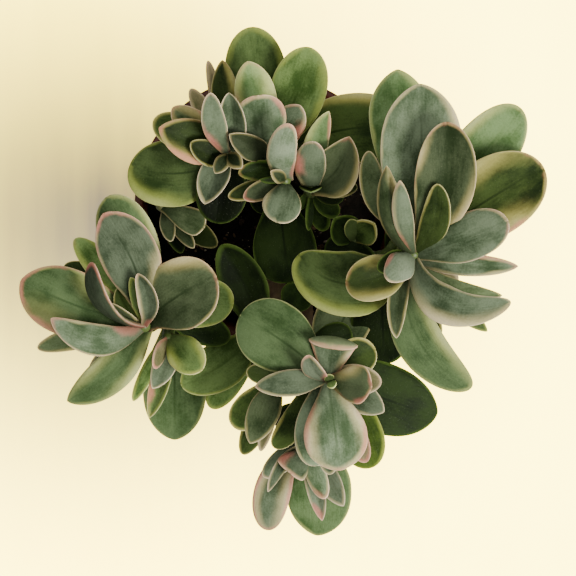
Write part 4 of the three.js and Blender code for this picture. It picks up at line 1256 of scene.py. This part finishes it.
@dataclass(frozen=True)
class PottingMix:
    """The crumbly top of the potting mix and the loose grains on it. The solid mix stays below."""

    top: float = 77.0
    mound: float = 2.5
    radius: float = 46.5
    rings: int = 110
    sides: int = 260
    skirt: float = 2.5
    grains: int = 240
    grain_rings: int = 5
    grain_sides: int = 8
    grain_spread: float = 0.95
    seed: int = 11

    def surface(self, x: Array, y: Array) -> Array:
        """Height of the mix: the mound's profile plus three layers of crumbs.

        Args:
            x: places, in millimetres.
            y: places, in millimetres.

        Returns:
            The heights, in millimetres.
        """
        share = np.clip(np.hypot(x, y) / self.radius, 0, 1)
        mound = self.mound * np.interp(share, [0, 0.55, 0.86, 1], [1, 0.8, 0.36, 0.1])
        clods = lattice_noise(x / 7, y / 7, 3) + 0.6 * lattice_noise(x / 2.6, y / 2.6, 5)
        crumbs = 0.35 * lattice_noise(x / 1.1, y / 1.1, 8)
        return self.top + mound + 0.25 + 1.15 * clods * (1 - 0.5 * share**6) + crumbs

    def build_top(self, look: bpy.types.Material) -> bpy.types.Object:
        """Builds the crumbly top as rings round the axis.

        Args:
            look: the mix's material.

        Returns:
            The piece.
        """
        turn = np.arange(self.sides) * 2 * np.pi / self.sides
        radius = self.radius * np.linspace(0.01, 1, self.rings)[::-1, None]
        x, y = radius * np.cos(turn), radius * np.sin(turn)
        crown = np.stack([x, y, self.surface(x, y)], -1)
        skirt = np.stack([x[:1], y[:1], 0 * x[:1] + self.top - self.skirt], -1)
        middle = [[0, 0, self.top - self.skirt], [0, 0, float(self.surface(np.zeros(1), np.zeros(1))[0])]]
        points = np.concatenate([skirt.reshape(-1, 3), crown.reshape(-1, 3), middle])
        piece = make_mesh("mix_top", points, tube_faces(self.rings + 1, self.sides))
        return self.placed(piece, look)

    def build_grains(self, look: bpy.types.Material) -> bpy.types.Object:
        """Scatters bark, pumice and grit: small lumps, each a rounded grid stretched and turned.

        Args:
            look: the grains' material.

        Returns:
            The piece.
        """
        draw = np.random.default_rng(self.seed)
        rings, sides = self.grain_rings, self.grain_sides
        lift = np.linspace(-0.82, 0.82, rings)[:, None]
        turn = (np.arange(sides) * 2 * np.pi / sides)[None, :]
        wide = np.sqrt(1 - lift**2)
        lump = np.stack([wide * np.cos(turn), wide * np.sin(turn), lift + 0 * turn], -1).reshape(-1, 3)
        lump = np.concatenate([lump, [[0, 0, -1], [0, 0, 1]]])
        ring = self.radius * self.grain_spread * np.sqrt(draw.uniform(0, 1, self.grains))
        angle = draw.uniform(0, 2 * np.pi, self.grains)
        x, y = ring * np.cos(angle), ring * np.sin(angle)
        size = draw.uniform(0.45, 1.7, (self.grains, 1)) * draw.uniform(0.55, 1.2, (self.grains, 3))
        size[:, 2] *= 0.65
        rough = 1 + draw.uniform(-0.22, 0.22, (self.grains, len(lump), 1))
        spin = draw.uniform(0, 2 * np.pi, self.grains)[:, None]
        grains = lump[None] * size[:, None] * rough
        turned_x = grains[..., 0] * np.cos(spin) - grains[..., 1] * np.sin(spin) + x[:, None]
        turned_y = grains[..., 0] * np.sin(spin) + grains[..., 1] * np.cos(spin) + y[:, None]
        high = grains[..., 2] + (self.surface(x, y) + 0.25 * size[:, 2])[:, None]
        points = np.stack([turned_x, turned_y, high], -1).reshape(-1, 3)
        quads, caps = tube_faces(rings, sides)
        faces = [repeated(quads, self.grains, len(lump)), repeated(caps, self.grains, len(lump))]
        piece = make_mesh("mix_grains", points, faces)
        # the grains' own colours of bark, peat and pumice, darkened as painted shade inside the pot
        tints = np.array([srgb(54, 38, 24), srgb(36, 27, 18), srgb(112, 104, 88), srgb(70, 56, 38)])
        chosen = tints[draw.choice(4, self.grains, p=[0.4, 0.3, 0.12, 0.18])]
        Stored.COLOUR.put(piece, "grain_colour", np.repeat(chosen, len(lump), axis=0))
        return self.placed(piece, look)

    def placed(self, piece: bpy.types.Object, look: bpy.types.Material) -> bpy.types.Object:
        """Dresses a piece of the mix and makes it ride with the pot."""
        piece.data.materials.append(look)
        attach(piece, BODY)
        log.info("%s: %d faces", piece.name, len(piece.data.polygons))
        return piece

    def dress_solid(self, look: bpy.types.Material) -> None:
        """Gives the solid mix below, seen through the drain holes, the same finish."""
        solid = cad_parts["soil"]
        if not solid.material_slots:
            solid.data.materials.append(look)
        for holder in solid.material_slots:
            holder.material = look


# The studio


class Lamp(Enum):
    """Area lights of the studio: place, aimed at, size in metres, watts and colour."""

    KEY = ((1.1, -0.7, 1.25), (0.0, 0.0, 0.1), 0.9, 54.0, (1.0, 0.97, 0.92))
    FILL = ((-0.9, 0.7, 1.3), (0.0, 0.0, 0.1), 1.4, 3.0, (0.93, 0.97, 1.0))
    TOP = ((0.1, 0.1, 1.9), (0.0, 0.0, 0.1), 1.2, 8.0, (1.0, 0.99, 0.96))

    def build(self) -> bpy.types.Object:
        """Makes the light and aims it."""
        place, target, size, watts, colour = self.value
        data = bpy.data.lights.new(self.name.lower(), "AREA")
        data.shape, data.size, data.energy, data.color = "DISK", size, watts, colour
        light = bpy.data.objects.new(self.name.lower(), data)
        bpy.context.scene.collection.objects.link(light)
        light.location = place
        aim = unit(np.array(target) - np.array(place))
        light.rotation_euler = (math.acos(-aim[2]), 0.0, math.atan2(aim[1], aim[0]) - math.pi / 2)
        return light


@dataclass(frozen=True)
class Studio:
    """Pale floor, soft light and the camera straight above."""

    floor_size: float = 6000.0
    ambient: float = 0.48
    camera_at: tuple[float, float] = (8.2, -31.6)
    camera_height: float = 3130.0
    lens: float = 481.0
    sensor: float = 36.0
    sight: tuple[float, float] = (0.1, 20.0)
    surround: Colour = (1.0, 0.975, 0.935)

    def build_floor(self, look: bpy.types.Material) -> None:
        """Lays the floor.

        Args:
            look: the floor's material.
        """
        half = self.floor_size / 2
        corners = np.array([[-half, -half, 0], [half, -half, 0], [half, half, 0], [-half, half, 0]])
        floor = make_mesh("studio_floor", corners, [np.array([[0, 1, 2, 3]])])
        floor.data.materials.append(look)
        floor.visible_diffuse = False
        floor.visible_glossy = False

    def build_light(self) -> None:
        """Sets the lamps and an even pale surround."""
        for lamp in Lamp:
            lamp.build()
        world = bpy.data.worlds.new("studio_surround")
        world.use_nodes = True
        surround = world.node_tree.nodes["Background"]
        surround.inputs["Color"].default_value = opaque(self.surround)
        surround.inputs["Strength"].default_value = self.ambient
        bpy.context.scene.world = world

    def build_camera(self) -> None:
        """Hangs the camera straight above the plant, its upper edge towards +Y."""
        data = bpy.data.cameras.new("camera")
        data.lens, data.sensor_width = self.lens, self.sensor
        data.clip_start, data.clip_end = self.sight
        camera = bpy.data.objects.new("camera", data)
        camera.location = (self.camera_at[0] * MM, self.camera_at[1] * MM, self.camera_height * MM)
        bpy.context.scene.collection.objects.link(camera)
        bpy.context.scene.camera = camera


def main() -> None:
    """Builds the plant, its pot and the studio."""
    logging.basicConfig(level=logging.INFO, format="%(name)s %(message)s")
    studio = Studio()
    studio.build_camera()
    leaf_look, stem_look, mix_look = leaf_finish(), stem_finish(), mix_finish()
    for stem in STEMS:
        stem.build(leaf_look, stem_look)
    Pot().build(pot_finish())
    mix = PottingMix()
    mix.build_top(mix_look)
    mix.build_grains(grit_finish())
    mix.dress_solid(mix_look)
    studio.build_floor(floor_finish())
    studio.build_light()


if __name__ == "__main__":
    main()
